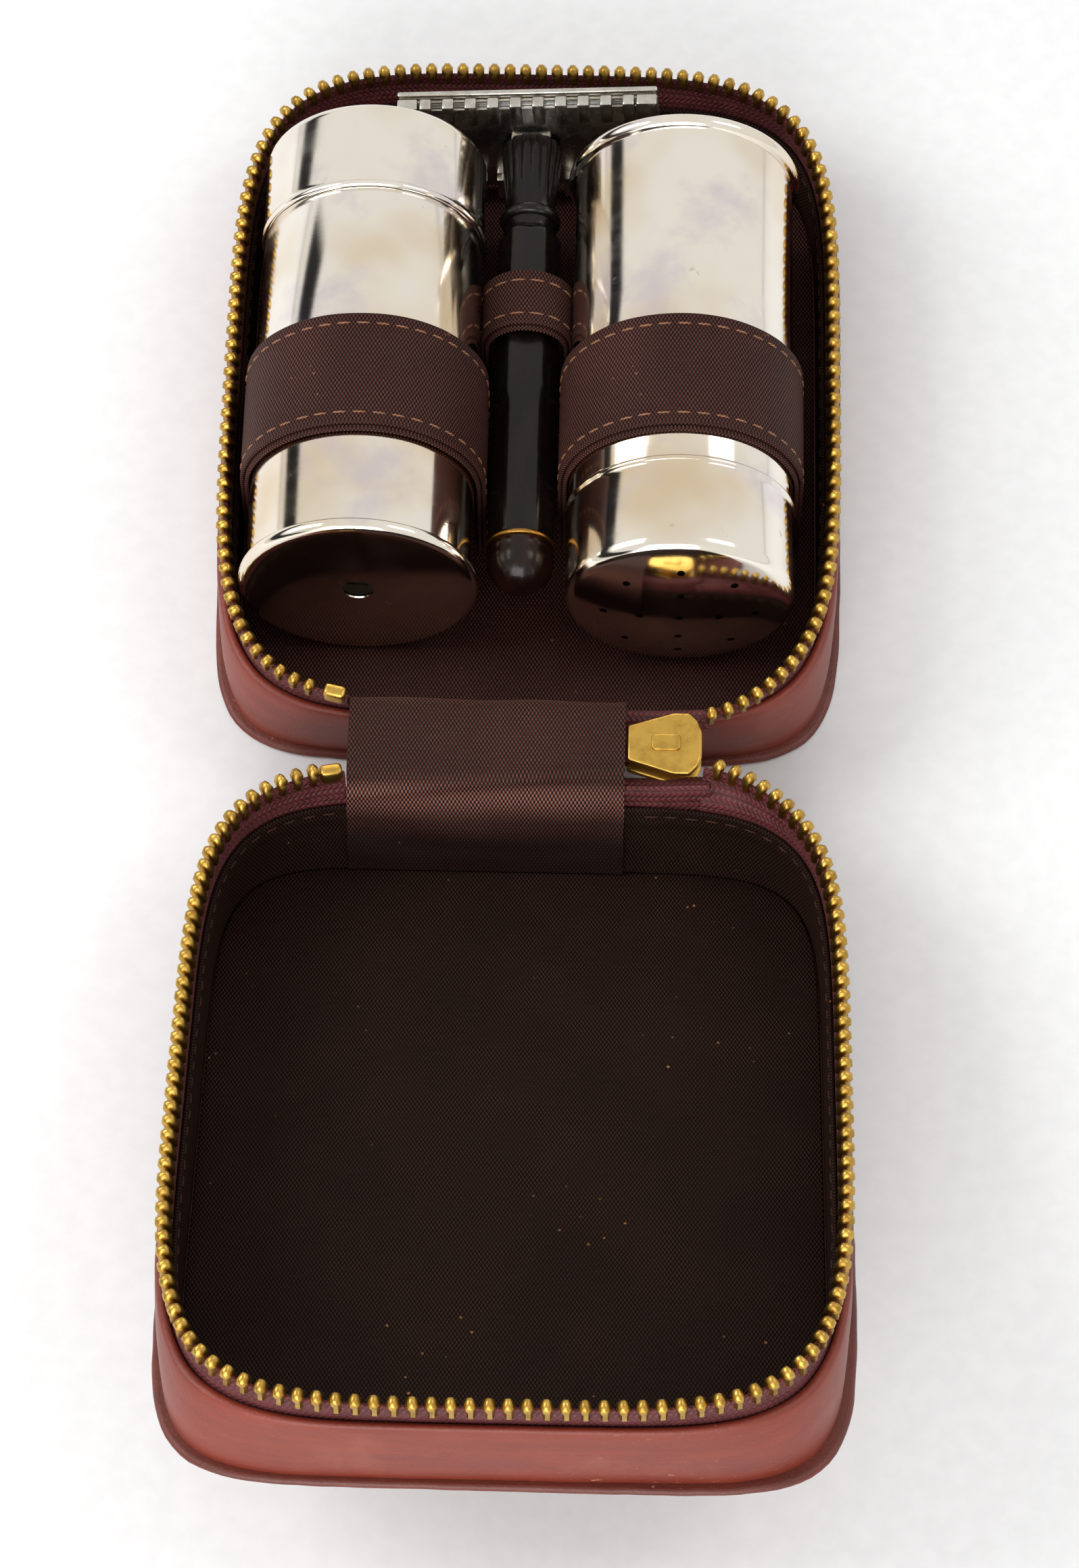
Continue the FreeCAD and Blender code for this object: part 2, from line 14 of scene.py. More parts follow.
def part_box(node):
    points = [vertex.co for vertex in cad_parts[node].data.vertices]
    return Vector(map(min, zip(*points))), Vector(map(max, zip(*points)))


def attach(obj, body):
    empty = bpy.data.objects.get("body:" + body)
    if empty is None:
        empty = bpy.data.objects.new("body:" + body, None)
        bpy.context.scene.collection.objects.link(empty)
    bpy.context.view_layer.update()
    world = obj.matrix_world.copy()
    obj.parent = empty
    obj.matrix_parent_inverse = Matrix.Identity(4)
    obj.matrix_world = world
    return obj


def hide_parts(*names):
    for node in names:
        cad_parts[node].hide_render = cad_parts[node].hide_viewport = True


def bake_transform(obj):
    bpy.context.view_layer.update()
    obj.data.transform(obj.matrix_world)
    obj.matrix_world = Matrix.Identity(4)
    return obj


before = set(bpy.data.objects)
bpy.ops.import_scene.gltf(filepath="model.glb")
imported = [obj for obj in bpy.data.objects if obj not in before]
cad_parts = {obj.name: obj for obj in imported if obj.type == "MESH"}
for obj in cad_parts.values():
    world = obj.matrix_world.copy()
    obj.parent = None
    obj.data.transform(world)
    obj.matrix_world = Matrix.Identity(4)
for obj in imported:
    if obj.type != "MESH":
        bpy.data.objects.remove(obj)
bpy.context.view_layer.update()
MM = 0.001


def span(node):
    """Lowest and highest corner of a solid, in millimetres."""
    low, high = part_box(node)
    return low / MM, high / MM


def axis(node):
    """X and Z of the middle of a solid that lies along Y, and half its width."""
    low, high = span(node)
    return (low.x + high.x) / 2, (low.z + high.z) / 2, (high.x - low.x) / 2


# Plies of the case, from the middle of its side wall
LEATHER = 1.3
LEATHER_OUT = 1.7
LEATHER_IN = 0.4
LIP_REACH = 1.5
LINING_OUT = -0.4
LINING_IN = -0.9
TAPE_HALF = 0.3
SOFT_GAP = 0.3

# Outline of a half: how square it is at its foot, leather edge and zip
FOOT_POWER = 7.0
EDGE_POWER = 5.0
RIM_POWER = 4.5
NOSE_REACH = 2.4
NOSE_RUN = 16.0

# Zip
CHAIN_HEIGHT = 21.6
TAPE_BEND = 18.6
TOOTH_HALF_DEPTH = 1.1
TOOTH_COUNT = 125
BASE_PHASE = 0.25
LID_PHASE = 0.75
STOP_GAP = 0.4
STOP_LENGTH = 3.4

# The lid stands up from its fold
LID_TILT = 15.5
FOLD_Y = 6.0
FOLD_HEIGHT = 15.6

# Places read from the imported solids
panel_low, panel_high = span("base_bottom_panel")
wall_low, wall_high = span("base_side_wall")
lining_low, lining_high = span("base_wall_lining")
floor_low, floor_high = span("base_floor_lining")
tape_low, tape_high = span("base_zip_tape")
teeth_low, teeth_high = span("base_zip_teeth")
stop_low, stop_high = span("base_zip_stop")
strip_low, strip_high = span("base_hinge_strip")
slider_low, slider_high = span("zip_slider")
HALF_CENTRE = (panel_low.y + panel_high.y) / 2
CHAIN_RIGHT = slider_high.x + 2 * SOFT_GAP
CHAIN_LEFT = stop_low.x - STOP_GAP
TAPE_LEFT = strip_low.x - SOFT_GAP
RIM_HALF_WIDTH = teeth_high.x - TOOTH_HALF_DEPTH
RIM_HALF_LENGTH = teeth_high.y - TOOTH_HALF_DEPTH - HALF_CENTRE
FOOT_SPARE = LEATHER_OUT + LIP_REACH
LEVELS = (
    (0.0, panel_high.x - FOOT_SPARE, panel_high.y - HALF_CENTRE - FOOT_SPARE, FOOT_POWER),
    (wall_high.z, wall_high.x - LEATHER_OUT, wall_high.y - HALF_CENTRE - LEATHER_OUT, EDGE_POWER),
    (TAPE_BEND, RIM_HALF_WIDTH, RIM_HALF_LENGTH, RIM_POWER),
    (CHAIN_HEIGHT + 2, RIM_HALF_WIDTH, RIM_HALF_LENGTH, RIM_POWER),
)


class Value:
    """A socket in a material's node tree. Arithmetic on it adds Math nodes."""

    def __init__(self, tree, socket=None):
        self.tree = tree
        self.socket = socket

    def node(self, kind, settings=(), sockets=(), out=0):
        """A new node: its settings are made first, then its sockets get values or links."""
        made = self.tree.nodes.new("ShaderNode" + kind)
        for name, value in dict(settings).items():
            setattr(made, name, value)
        for name, value in dict(sockets).items():
            if isinstance(value, Value):
                self.tree.links.new(value.socket, made.inputs[name])
            else:
                made.inputs[name].default_value = value
        return Value(self.tree, made.outputs[out] if made.outputs else None)

    def math(self, operation, other=0.0):
        return self.node("Math", {"operation": operation}, {0: self, 1: other})

    def __add__(self, other):
        return self.math("ADD", other)

    __radd__ = __add__

    def __sub__(self, other):
        return self.math("SUBTRACT", other)

    def __rsub__(self, other):
        return self.node("Math", {"operation": "SUBTRACT"}, {0: other, 1: self})

    def __mul__(self, other):
        return self.math("MULTIPLY", other)

    __rmul__ = __mul__

    def __pow__(self, other):
        return self.math("POWER", other)

    def step(self, low, high):
        """0 below low, 1 above high, smooth between."""
        return self.node("MapRange", {"interpolation_type": "SMOOTHSTEP"}, {0: self, 1: low, 2: high})

    def mix(self, first, second):
        """Colour between two others, with this value as the share of the second."""
        return self.node("Mix", {"data_type": "RGBA"}, {0: self, 6: shade(first), 7: shade(second)}, 2)

    def stretched(self, *shares):
        """Coordinates multiplied axis by axis."""
        return self.node("VectorMath", {"operation": "MULTIPLY"}, {0: self, 1: shares})

    def axes(self):
        """The three numbers of a vector."""
        return [self.node("SeparateXYZ", (), {0: self}, index) for index in range(3)]

    def clouds(self, scale, detail=3.0, roughness=0.5):
        """Soft noise from 0 to 1 on these coordinates, with scale in cycles per metre."""
        sockets = {"Vector": self, "Scale": scale, "Detail": detail, "Roughness": roughness}
        return self.node("TexNoise", (), sockets)

    def cells(self, scale):
        """Distance to the nearest point of a scatter on these coordinates."""
        return self.node("TexVoronoi", (), {"Vector": self, "Scale": scale})

    def place(self):
        """Coordinates in the piece's own frame, in metres."""
        return self.node("TexCoord", out=3)

    def flat(self):
        """Coordinates on the cloth's flat pattern, in metres."""
        return self.node("UVMap", {"uv_map": "cut"})

    def tone(self):
        """The tone that each copy in a row has for itself, from 0 to 1."""
        return self.node("Attribute", {"attribute_name": "tone"}, (), 2)


def shade(levels):
    """A colour read off a screen as red, green and blue, as the shader takes it; a socket stays as it is."""
    if isinstance(levels, Value):
        return levels
    linear = []
    for level in levels:
        level /= 255
        linear.append(level / 12.92 if level <= 0.04045 else ((level + 0.055) / 1.055) ** 2.4)
    return (*linear, 1.0)


def new_finish(name):
    """An empty material, as the start of its nodes."""
    material = bpy.data.materials.new(name)
    material.use_nodes = True
    material.node_tree.nodes.clear()
    return material, Value(material.node_tree)


def close_finish(material, sockets, height=None, depth=0.0002, strength=1.0):
    """End of a material: its shader, with the height of its surface as a bump."""
    start = Value(material.node_tree)
    if height is not None:
        bump = {"Strength": strength, "Distance": depth, "Height": height}
        sockets["Normal"] = start.node("Bump", (), bump)
    shader = start.node("BsdfPrincipled", (), sockets)
    start.node("OutputMaterial", (), {"Surface": shader})
    return material


def leather_finish(name, dark, light, worn):
    """Smooth red-brown calf: fine grain, faint long streaks, paler rubbed places and a few scuffs."""
    material, start = new_finish(name)
    place = start.place()
    mottle = place.clouds(38, 4)
    streaks = place.stretched(1, 1, 9).clouds(55, 5, 0.6)
    grain = place.cells(1500)
    pores = place.clouds(2600, 2)
    rubbed = place.clouds(90, 5, 0.65).step(0.5, 0.72)
    scuff = place.stretched(1, 1, 3).clouds(420, 4, 0.7).step(0.66, 0.72)
    patch = scuff * place.clouds(24, 1).step(0.55, 0.68)
    tone = (mottle * 0.4 + streaks * 0.6).step(0.2, 0.8)
    hide = tone.mix(dark, light)
    hide = (rubbed * 0.2).mix(hide, worn)
    hide = (patch * 0.8).mix(hide, (196, 146, 118))
    rough = 0.44 - rubbed * 0.08 + mottle * 0.1 + patch * 0.2
    height = grain.step(0.0, 0.6) * 0.5 + pores * 0.25 + streaks * 0.7
    sockets = {"Base Color": hide, "Roughness": rough, "Specular IOR Level": 0.55,
               "Sheen Weight": 0.02, "Sheen Roughness": 0.4}
    return close_finish(material, sockets, height, 0.00007, 0.75)


WEAVE_ALONG = 0.00058
WEAVE_ACROSS = 0.0005


def twill_finish(name, hollow, thread, dust, shine, band=None):
    """Brown lining twill: rows of staggered thread floats and dust; the floats' lighter tone is partly the
    yarn and partly a painted highlight, the hollows' darker tone partly painted shade.

    A bent strip has a painted highlight band too, where its satin bends to the light, and painted shade
    further along it, given by the band's middle, its reach and where the painted shade is fullest, in
    metres.
    """
    material, start = new_finish(name)
    flat = start.flat()
    along, across, _ = flat.axes()
    wander = flat.clouds(900, 2) * 0.5
    warp = (along * (2 * pi / WEAVE_ALONG) + wander).math("COSINE")
    weft = (across * (pi / WEAVE_ACROSS) + wander).math("COSINE")
    floats = (warp * weft * 0.5 + 0.5).step(0.28, 0.92)
    worn = flat.clouds(60, 4).step(0.3, 0.75)
    slubs = flat.stretched(1, 7, 1).clouds(420, 2).step(0.35, 0.8)
    # Floats take the lighter tone and hollows the darker one: partly the yarn's own tone, partly a painted
    # highlight on the floats and painted shade in the hollows.
    cloth = (floats * (0.5 + worn * 0.3 + slubs * 0.2)).mix(hollow, thread)
    if band:
        middle, reach, dark = band
        off = (across - middle).math("ABSOLUTE")
        # Painted highlight: floats in a band round the strip's bend are painted pale, where the satin would
        # catch the light.
        cloth = ((1 - off.step(0.0, reach)) * floats * 0.75).mix(cloth, (176, 122, 108))
        # Painted shade: further along the strip the cloth is painted dark, towards the hollow colour.
        cloth = (across.step(middle + reach * 0.6, dark) * 0.92).mix(cloth, hollow)
    specks = 1 - flat.cells(340).step(0.045, 0.09)
    specks = specks * flat.clouds(55, 2).step(0.52, 0.64) * dust
    cloth = specks.mix(cloth, (158, 114, 74))
    rough = 0.62 - floats * 0.14 + specks * 0.2
    sockets = {"Base Color": cloth, "Roughness": rough, "Specular IOR Level": shine,
               "Sheen Weight": 0.02, "Sheen Roughness": 0.35, "Sheen Tint": shade((190, 130, 116))}
    return close_finish(material, sockets, floats, 0.00012, 0.8)


CORD_WIDTH = 0.00095
CORD_TWIST = 0.0009


def tape_finish():
    """Maroon zip tape: corded ribs along it whose twist changes sides from rib to rib."""
    material, start = new_finish("zip_tape")
    flat = start.flat()
    along, across, _ = flat.axes()
    rib = (across * (pi / CORD_WIDTH)).math("SINE")
    side = (across * (pi / CORD_WIDTH)).math("COSINE").math("SIGN")
    twist = (along * (2 * pi / CORD_TWIST) + side * across * (2 * pi / CORD_WIDTH)).math("SINE")
    cord = rib.math("ABSOLUTE") ** 0.6
    strand = cord * (0.55 + twist * 0.45)
    fade = flat.clouds(300, 3).step(0.3, 0.75)
    cloth = strand.mix((46, 14, 15), (112, 42, 44))
    cloth = (fade * 0.3).mix(cloth, (128, 60, 62))
    sockets = {"Base Color": cloth, "Roughness": 0.6 - strand * 0.15, "Specular IOR Level": 0.4,
               "Sheen Weight": 0.06, "Sheen Roughness": 0.4, "Sheen Tint": shade((225, 180, 180))}
    return close_finish(material, sockets, strand, 0.0002, 0.9)


def thread_finish(name, dark, light, worn):
    """Sewing thread of twisted plies, each stitch a little different."""
    material, start = new_finish(name)
    around, along, _ = start.node("UVMap", {"uv_map": "UVMap"}).axes()
    ply = (around * (4 * pi) + along * (12 * pi)).math("SINE") * 0.5 + 0.5
    thread = (start.tone() * 0.45).mix(ply.mix(dark, light), worn)
    sockets = {"Base Color": thread, "Roughness": 0.66 - ply * 0.12, "Specular IOR Level": 0.2}
    return close_finish(material, sockets, ply, 0.00006)


def metal_finish(name, clean, tarnish, amount, low, high, toned=False):
    """A worn metal: tarnish in soft patches, fine scratches, and a roughness that wanders."""
    material, start = new_finish(name)
    place = start.place()
    patches = place.clouds(420, 4, 0.6).step(0.35, 0.75)
    pits = 1 - place.cells(2600).step(0.05, 0.22)
    dull = patches * amount + pits * 0.15
    if toned:
        dull = dull + start.tone() * 0.35
    scratches = place.stretched(1, 6, 6).clouds(1600, 3)
    metal = dull.mix(clean, tarnish)
    rough = low + (patches * 0.6 + scratches * 0.4) * (high - low)
    sockets = {"Base Color": metal, "Roughness": rough, "Metallic": 1.0}
    return close_finish(material, sockets, scratches + pits * 0.5, 0.00003, 0.6)


def tin_finish():
    """Bright plate on the tins: polish lines round them, warm and lilac bloom, small stains."""
    material, start = new_finish("tin_plate")
    place = start.place()
    bloom = place.clouds(34, 3, 0.5)
    haze = place.clouds(61, 4, 0.6)
    lines = place.stretched(0.12, 4.5, 0.12).clouds(900, 4, 0.7)
    rubs = place.stretched(0.5, 1, 0.5).clouds(160, 4, 0.6).step(0.45, 0.75)
    stains = place.clouds(310, 3, 0.65).step(0.68, 0.78)
    dents = place.clouds(26, 1)
    plate = bloom.step(0.4, 0.7).mix((240, 234, 224), (222, 202, 172))
    plate = (haze.step(0.5, 0.72) * 0.6).mix(plate, (206, 196, 208))
    plate = (stains * 0.35).mix(plate, (150, 124, 92))
    rough = 0.07 + rubs * 0.08 + stains * 0.2 + lines * 0.05
    height = lines * 0.06 + dents * 1.6 + rubs * 0.03
    sockets = {"Base Color": plate, "Roughness": rough, "Metallic": 1.0}
    return close_finish(material, sockets, height, 0.0002, 0.35)


def moulded_finish(name, dark, light, low):
    """Dark moulded resin: faint swirls in it, a polished skin with fine scratches."""
    material, start = new_finish(name)
    place = start.place()
    swirl = place.stretched(1, 0.35, 1).clouds(240, 5, 0.6)
    wear = place.stretched(1, 0.3, 1).clouds(900, 4, 0.6).step(0.4, 0.8)
    body = swirl.step(0.35, 0.75).mix(dark, light)
    sockets = {"Base Color": body, "Roughness": low + wear * 0.16, "Specular IOR Level": 0.26,
               "Coat Weight": 0.06, "Coat Roughness": 0.12}
    return close_finish(material, sockets, wear + swirl * 0.4, 0.00004, 0.6)


def fibre_finish(name, dark, light, shares, scale, rough, depth):
    """Board, soap, wood or hair: fibres or rings stretched along one axis."""
    material, start = new_finish(name)
    place = start.place()
    fibre = place.stretched(*shares).clouds(scale, 5, 0.6)
    cloud = place.clouds(60, 3)
    body = (fibre * 0.7 + cloud * 0.3).step(0.3, 0.7).mix(dark, light)
    sockets = {"Base Color": body, "Roughness": rough - fibre * 0.15}
    return close_finish(material, sockets, fibre, depth)


LEATHER_FINISH = leather_finish("case_leather", (104, 34, 18), (131, 48, 27), (152, 72, 49))
LIP_FINISH = leather_finish("lip_leather", (80, 27, 15), (112, 42, 25), (158, 86, 64))
# One lining twill in two tones: the darker first copy is painted shade, used for the wall linings and the
# lid's floor; the lighter next copy is a painted lit copy, used for the loops and the base's floor.
SHADED_TWILL_FINISH = twill_finish("lining_twill", (18, 10, 8), (66, 44, 36), 1.0, 0.05)
LIT_TWILL_FINISH = twill_finish("lit_twill", (24, 11, 9), (112, 70, 62), 0.6, 0.1)
# The strip's twill is a lighter, painted lit copy of the lining, with a painted highlight band and painted
# shade along it.
STRIP_FINISH = twill_finish("strip_twill", (22, 10, 8), (112, 70, 60), 0.4, 0.12, (0.0098, 0.0045, 0.0185))
TAPE_FINISH = tape_finish()
THREAD_FINISH = thread_finish("sewing_thread", (112, 72, 48), (178, 128, 94), (100, 66, 50))
HEM_THREAD_FINISH = thread_finish("hem_thread", (40, 22, 15), (82, 48, 31), (36, 21, 16))
BRASS_FINISH = metal_finish("zip_brass", (208, 168, 82), (124, 92, 36), 0.5, 0.24, 0.44, True)
GILT_FINISH = metal_finish("gilt_band", (168, 122, 58), (96, 62, 26), 0.6, 0.22, 0.4)
NICKEL_FINISH = metal_finish("razor_plate", (206, 202, 194), (120, 112, 98), 0.45, 0.16, 0.36)
STEEL_FINISH = metal_finish("blade_steel", (176, 178, 182), (110, 112, 118), 0.3, 0.18, 0.32)
TIN_FINISH = tin_finish()
GRIP_FINISH = moulded_finish("handle_bakelite", (14, 10, 9), (28, 20, 17), 0.24)
KNOB_FINISH = moulded_finish("knob_bakelite", (22, 9, 7), (42, 18, 13), 0.18)
BOARD_FINISH = fibre_finish("stiff_board", (120, 104, 84), (160, 142, 118), (1, 3, 1), 700, 0.9, 0.0001)
SOAP_FINISH = fibre_finish("shaving_soap", (226, 216, 194), (240, 233, 216), (1, 1, 1), 260, 0.55, 0.0001)
WOOD_FINISH = fibre_finish("brush_wood", (94, 56, 34), (146, 98, 62), (6, 0.5, 6), 180, 0.5, 0.0001)
HAIR_FINISH = fibre_finish("brush_hair", (70, 60, 52), (206, 194, 176), (9, 0.4, 9), 700, 0.7, 0.0003)


def only(piece):
    """Select one piece and nothing else."""
    bpy.ops.object.select_all(action="DESELECT")
    piece.select_set(True)
    bpy.context.view_layer.objects.active = piece


def edit(piece, *steps):
    """Run edit-mode steps on a piece."""
    only(piece)
    bpy.ops.object.mode_set(mode="EDIT")
    for step in steps:
        step()
    bpy.ops.object.mode_set(mode="OBJECT")
    return piece


def reshape(piece, change, *steps):
    """Change a piece's mesh in edit mode, then run further steps on it."""
    def step():
        mesh = bmesh.from_edit_mesh(piece.data)
        change(mesh)
        bmesh.update_edit_mesh(piece.data)

    return edit(piece, step, *steps)


def pick_all():
    bpy.ops.mesh.select_all(action="SELECT")


def weld():
    """Close seams and poles, and turn the faces outwards."""
    pick_all()
    bpy.ops.mesh.remove_doubles(threshold=0.000002)
    bpy.ops.mesh.normals_make_consistent(inside=False)


def fill_ends():
    """Close the open ends of a band or tape."""
    pick_all()
    bpy.ops.mesh.fill_holes(sides=0)


def soften(piece, angle=40):
    only(piece)
    bpy.ops.object.shade_smooth_by_angle(angle=radians(angle))
    return piece


def modify(piece, kind, **settings):
    """Add a modifier and apply it."""
    only(piece)
    modifier = piece.modifiers.new(kind.lower(), kind)
    for name, value in settings.items():
        setattr(modifier, name, value)
    bpy.ops.object.modifier_apply(modifier=modifier.name)


def named(piece, name):
    """Settle a piece's place and size in its mesh, and name both."""
    bpy.ops.object.transform_apply(location=True, rotation=True, scale=True)
    piece.name = name
    piece.data.name = name
    return piece


def started(name, add, **settings):
    """A new piece from one of Blender's own shapes."""
    bpy.ops.object.select_all(action="DESELECT")
    add(**settings)
    return named(bpy.context.object, name)


def drape(name, columns, rows, place, lay=None, ends=False, angle=40):
    """A cut of columns by rows: place(i, j) says where each corner goes.

    lay says where it was on the flat: distances along and across, or "plan" for a piece that lies flat.
    """
    piece = started(name, bpy.ops.mesh.primitive_grid_add, size=2,
                    x_subdivisions=columns, y_subdivisions=rows)
    mesh = piece.data
    spots = []
    for vert in mesh.vertices:
        spots.append((round((vert.co.x + 1) / 2 * columns), round((vert.co.y + 1) / 2 * rows)))
    corners = [Vector(place(*spot)) * MM for spot in spots]
    cut = mesh.uv_layers.active
    cut.name = "cut"
    if lay:
        for loop in mesh.loops:
            i, j = spots[loop.vertex_index]
            on_flat = corners[loop.vertex_index].xy if lay == "plan" else Vector((lay[0][i], lay[1][j])) * MM
            cut.data[loop.index].uv = on_flat
    for vert, corner in zip(mesh.vertices, corners):
        vert.co = corner
    edit(piece, weld, *((fill_ends, weld) if ends else ()))
    return soften(piece, angle)


def turned(name, section, x, z, steps=96, angle=35):
    """A piece turned about an axis along Y: its section of radius and length pairs is spun once round."""
    piece = started(name, bpy.ops.mesh.primitive_plane_add, size=1)
    centre = Vector((x, 0, z)) * MM

    def draw(mesh):
        bmesh.ops.delete(mesh, geom=mesh.verts[:], context="VERTS")
        corners = [mesh.verts.new(Vector((x + radius, y, z)) * MM) for radius, y in section]
        for first, second in zip(corners, corners[1:]):
            mesh.edges.new((first, second))

    def spin():
        bpy.ops.mesh.spin(steps=steps, angle=2 * pi, center=centre, axis=(0, 1, 0))

    reshape(piece, draw, pick_all, spin, weld)
    return soften(piece, angle)


def rounded(piece, edge, segments, angle=35):
    """Round all the edges of a piece."""
    def bevel():
        pick_all()
        bpy.ops.mesh.bevel(offset=edge * MM, segments=segments, affect="EDGES")

    edit(piece, bevel)
    return soften(piece, angle)


def block(name, low, high, edge, segments=3):
    """A box between two corners with rounded edges."""
    low, high = Vector(low) * MM, Vector(high) * MM
    middle = (low + high) / 2
    piece = started(name, bpy.ops.mesh.primitive_cube_add, size=1, location=middle, scale=high - low)
    return rounded(piece, edge, segments)


def plate(name, corners, bottom, top, edge, segments):
    """A flat piece cut to an outline, with rounded edges."""
    piece = started(name, bpy.ops.mesh.primitive_circle_add, fill_type="NGON",
                    vertices=len(corners), radius=1)
    for vert, (x, y) in zip(piece.data.vertices, corners):
        vert.co = Vector((x, y, bottom)) * MM

    def thicken():
        pick_all()
        bpy.ops.mesh.extrude_region_move(TRANSFORM_OT_translate={"value": (0, 0, (top - bottom) * MM)})
        weld()

    edit(piece, thicken)
    return rounded(piece, edge, segments)


def joined(name, pieces):
    """Several pieces as one."""
    bpy.ops.object.select_all(action="DESELECT")
    for piece in pieces:
        piece.select_set(True)
    bpy.context.view_layer.objects.active = pieces[0]
    bpy.ops.object.join()
    return named(bpy.context.object, name)


def unlike(index, salt):
    """A share from 0 to 1 that differs from copy to copy and is the same each time."""
    return (noise.noise(Vector((index * 1.37 + salt, salt * 3.1, 0.5))) + 1) / 2


def copies(name, model, places):
    """A row of copies of a model, each with its own mesh and its own tone."""
    made = []
    for index, place in enumerate(places):
        copy = model.copy()
        copy.data = model.data.copy()
        bpy.context.scene.collection.objects.link(copy)
        copy.matrix_world = place
        tone = copy.data.attributes.new("tone", "FLOAT", "POINT")
        tone.data.foreach_set("value", [unlike(index, len(name))] * len(copy.data.vertices))
        made.append(copy)
    bpy.data.objects.remove(model)
    return joined(name, made)


fold = Vector((0, -FOLD_Y, FOLD_HEIGHT)) * MM
LID_TURN = Matrix.Translation(fold) @ Matrix.Rotation(-radians(LID_TILT), 4, "X") @ Matrix.Translation(-fold)


def settle(piece, finish, body=None, nodes=()):
    """Give a piece its material, slot, body and the solids that it stands for; the lid's are tilted."""
    if body == "case_lid":
        piece.data.transform(LID_TURN)
    piece.data.materials.clear()
    piece.data.materials.append(finish)
    if nodes:
        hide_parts(*nodes)
    if body:
        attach(piece, body)


def over_fold(piece, half, side, near, far):
    """Bake a cloth's place into its mesh; no blend over the fold is made, though the places at the near and
    far distances are worked out.
    """
    still, moving = (Vector((0, side * reach, FOLD_HEIGHT)) * MM for reach in (near, far))
    if half == "base":
        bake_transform(piece)
    else:
        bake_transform(piece)


def shares_of(count):
    """Even shares from 0 to 1."""
    return [index / count for index in range(count + 1)]


def smooth_share(value):
    value = min(max(value, 0.0), 1.0)
    return value * value * (3 - 2 * value)


def bump(value, reach):
    """1 at zero, falling off smoothly on both sides."""
    return exp(-(value / reach) ** 2)


def squared(value, power):
    """A sine or cosine bent towards the corners of a square."""
    return copysign(abs(value) ** power, value)


def wave(share, height, lap, rise, salt):
    """Smooth unevenness round a wall, from -1 to 1, that meets itself after one turn."""
    turn = 2 * pi * share
    return noise.noise(Vector((cos(turn) * lap + salt, sin(turn) * lap, height * rise)))


def curl(centre, middle, radius, first, last, steps):
    """Points of an arc in a section, between two angles in degrees."""
    points = []
    for share in shares_of(steps):
        turn = radians(first + (last - first) * share)
        points.append((centre + radius * cos(turn), middle + radius * sin(turn)))
    return points


def disc(radius, low, high, edge, bore=0.0):
    """Section of a disc with bevelled rims, out from its axis or its bore and back."""
    rim = radius - edge
    return [(bore, low), (rim, low), (radius, low + edge), (radius, high - edge), (rim, high), (bore, high)]


def level(height):
    """Half width, half length and squareness of the wall's middle at a height."""
    below = LEVELS[0]
    for above in LEVELS[1:]:
        if height <= above[0]:
            share = max(0.0, (height - below[0]) / (above[0] - below[0]))
            return [low + share * (high - low) for low, high in zip(below[1:], above[1:])]
        below = above
    return below[1:]


def wall_point(side, share, height, out=0.0, shrink=1.0):
    """A point round a half: a share of a turn from the middle of the hinge side, out from the wall."""
    half_width, half_length, power = level(height)
    turn = 2 * pi * share - pi / 2
    across = (abs(cos(turn)) / (half_width + out)) ** power
    along = (abs(sin(turn)) / (half_length + out)) ** power
    reach = shrink * (across + along) ** (-1 / power)
    x, y = reach * cos(turn), reach * sin(turn)
    if y < 0 and height > wall_high.z:
        lean = smooth_share(1 - abs(x - CHAIN_RIGHT) / NOSE_RUN)
        rise = smooth_share((height - wall_high.z) / (TAPE_BEND - wall_high.z))
        y -= NOSE_REACH * lean * rise
    return Vector((x, side * (HALF_CENTRE + y), height))


class Path:
    """A line of points that can be walked by distance."""

    def __init__(self, points):
        self.points = points
        self.marks = [0.0]
        for first, second in zip(points, points[1:]):
            self.marks.append(self.marks[-1] + (second - first).length)
        self.length = self.marks[-1]

    def at(self, distance):
        """The point at a distance along, and the direction there."""
        index = min(max(bisect(self.marks, distance) - 1, 0), len(self.points) - 2)
        first, second = self.points[index], self.points[index + 1]
        share = (distance - self.marks[index]) / (self.marks[index + 1] - self.marks[index])
        return first.lerp(second, share), (second - first).normalized()


def share_at(x, height, right):
    """Where the hinge side of a half reaches an x, as a share of a turn."""
    low, high = (0.0, 0.25) if right else (0.75, 1.0)
    for _ in range(40):
        middle = (low + high) / 2
        if wall_point(1, middle, height).x < x:
            low = middle
        else:
            high = middle
    return low


def laid_out(shares, height):
    """Distance along the wall at each share, for the flat pattern."""
    return Path([wall_point(1, share, height) for share in shares]).marks


def walked(section):
    """Distance along a section's outline at each of its points, for the flat pattern."""
    return Path([Vector((spot[0], spot[1], 0)) for spot in section]).marks


def stand(point, along, up):
    """Matrix that puts a model's X along a direction and its Z up from a surface, at a point."""
    along = along.normalized()
    across = up.cross(along).normalized()
    up = along.cross(across)
    turn = Matrix((along, across, up)).transposed().to_4x4()
    return Matrix.Translation(point * MM) @ turn


STITCH_PITCH = 3.0
STITCH_LENGTH = 2.4
STITCH_STRAY = 0.25
STITCH_DRIFT = 0.16
THREAD_HALF = 0.17
THREAD_SIDES = 6


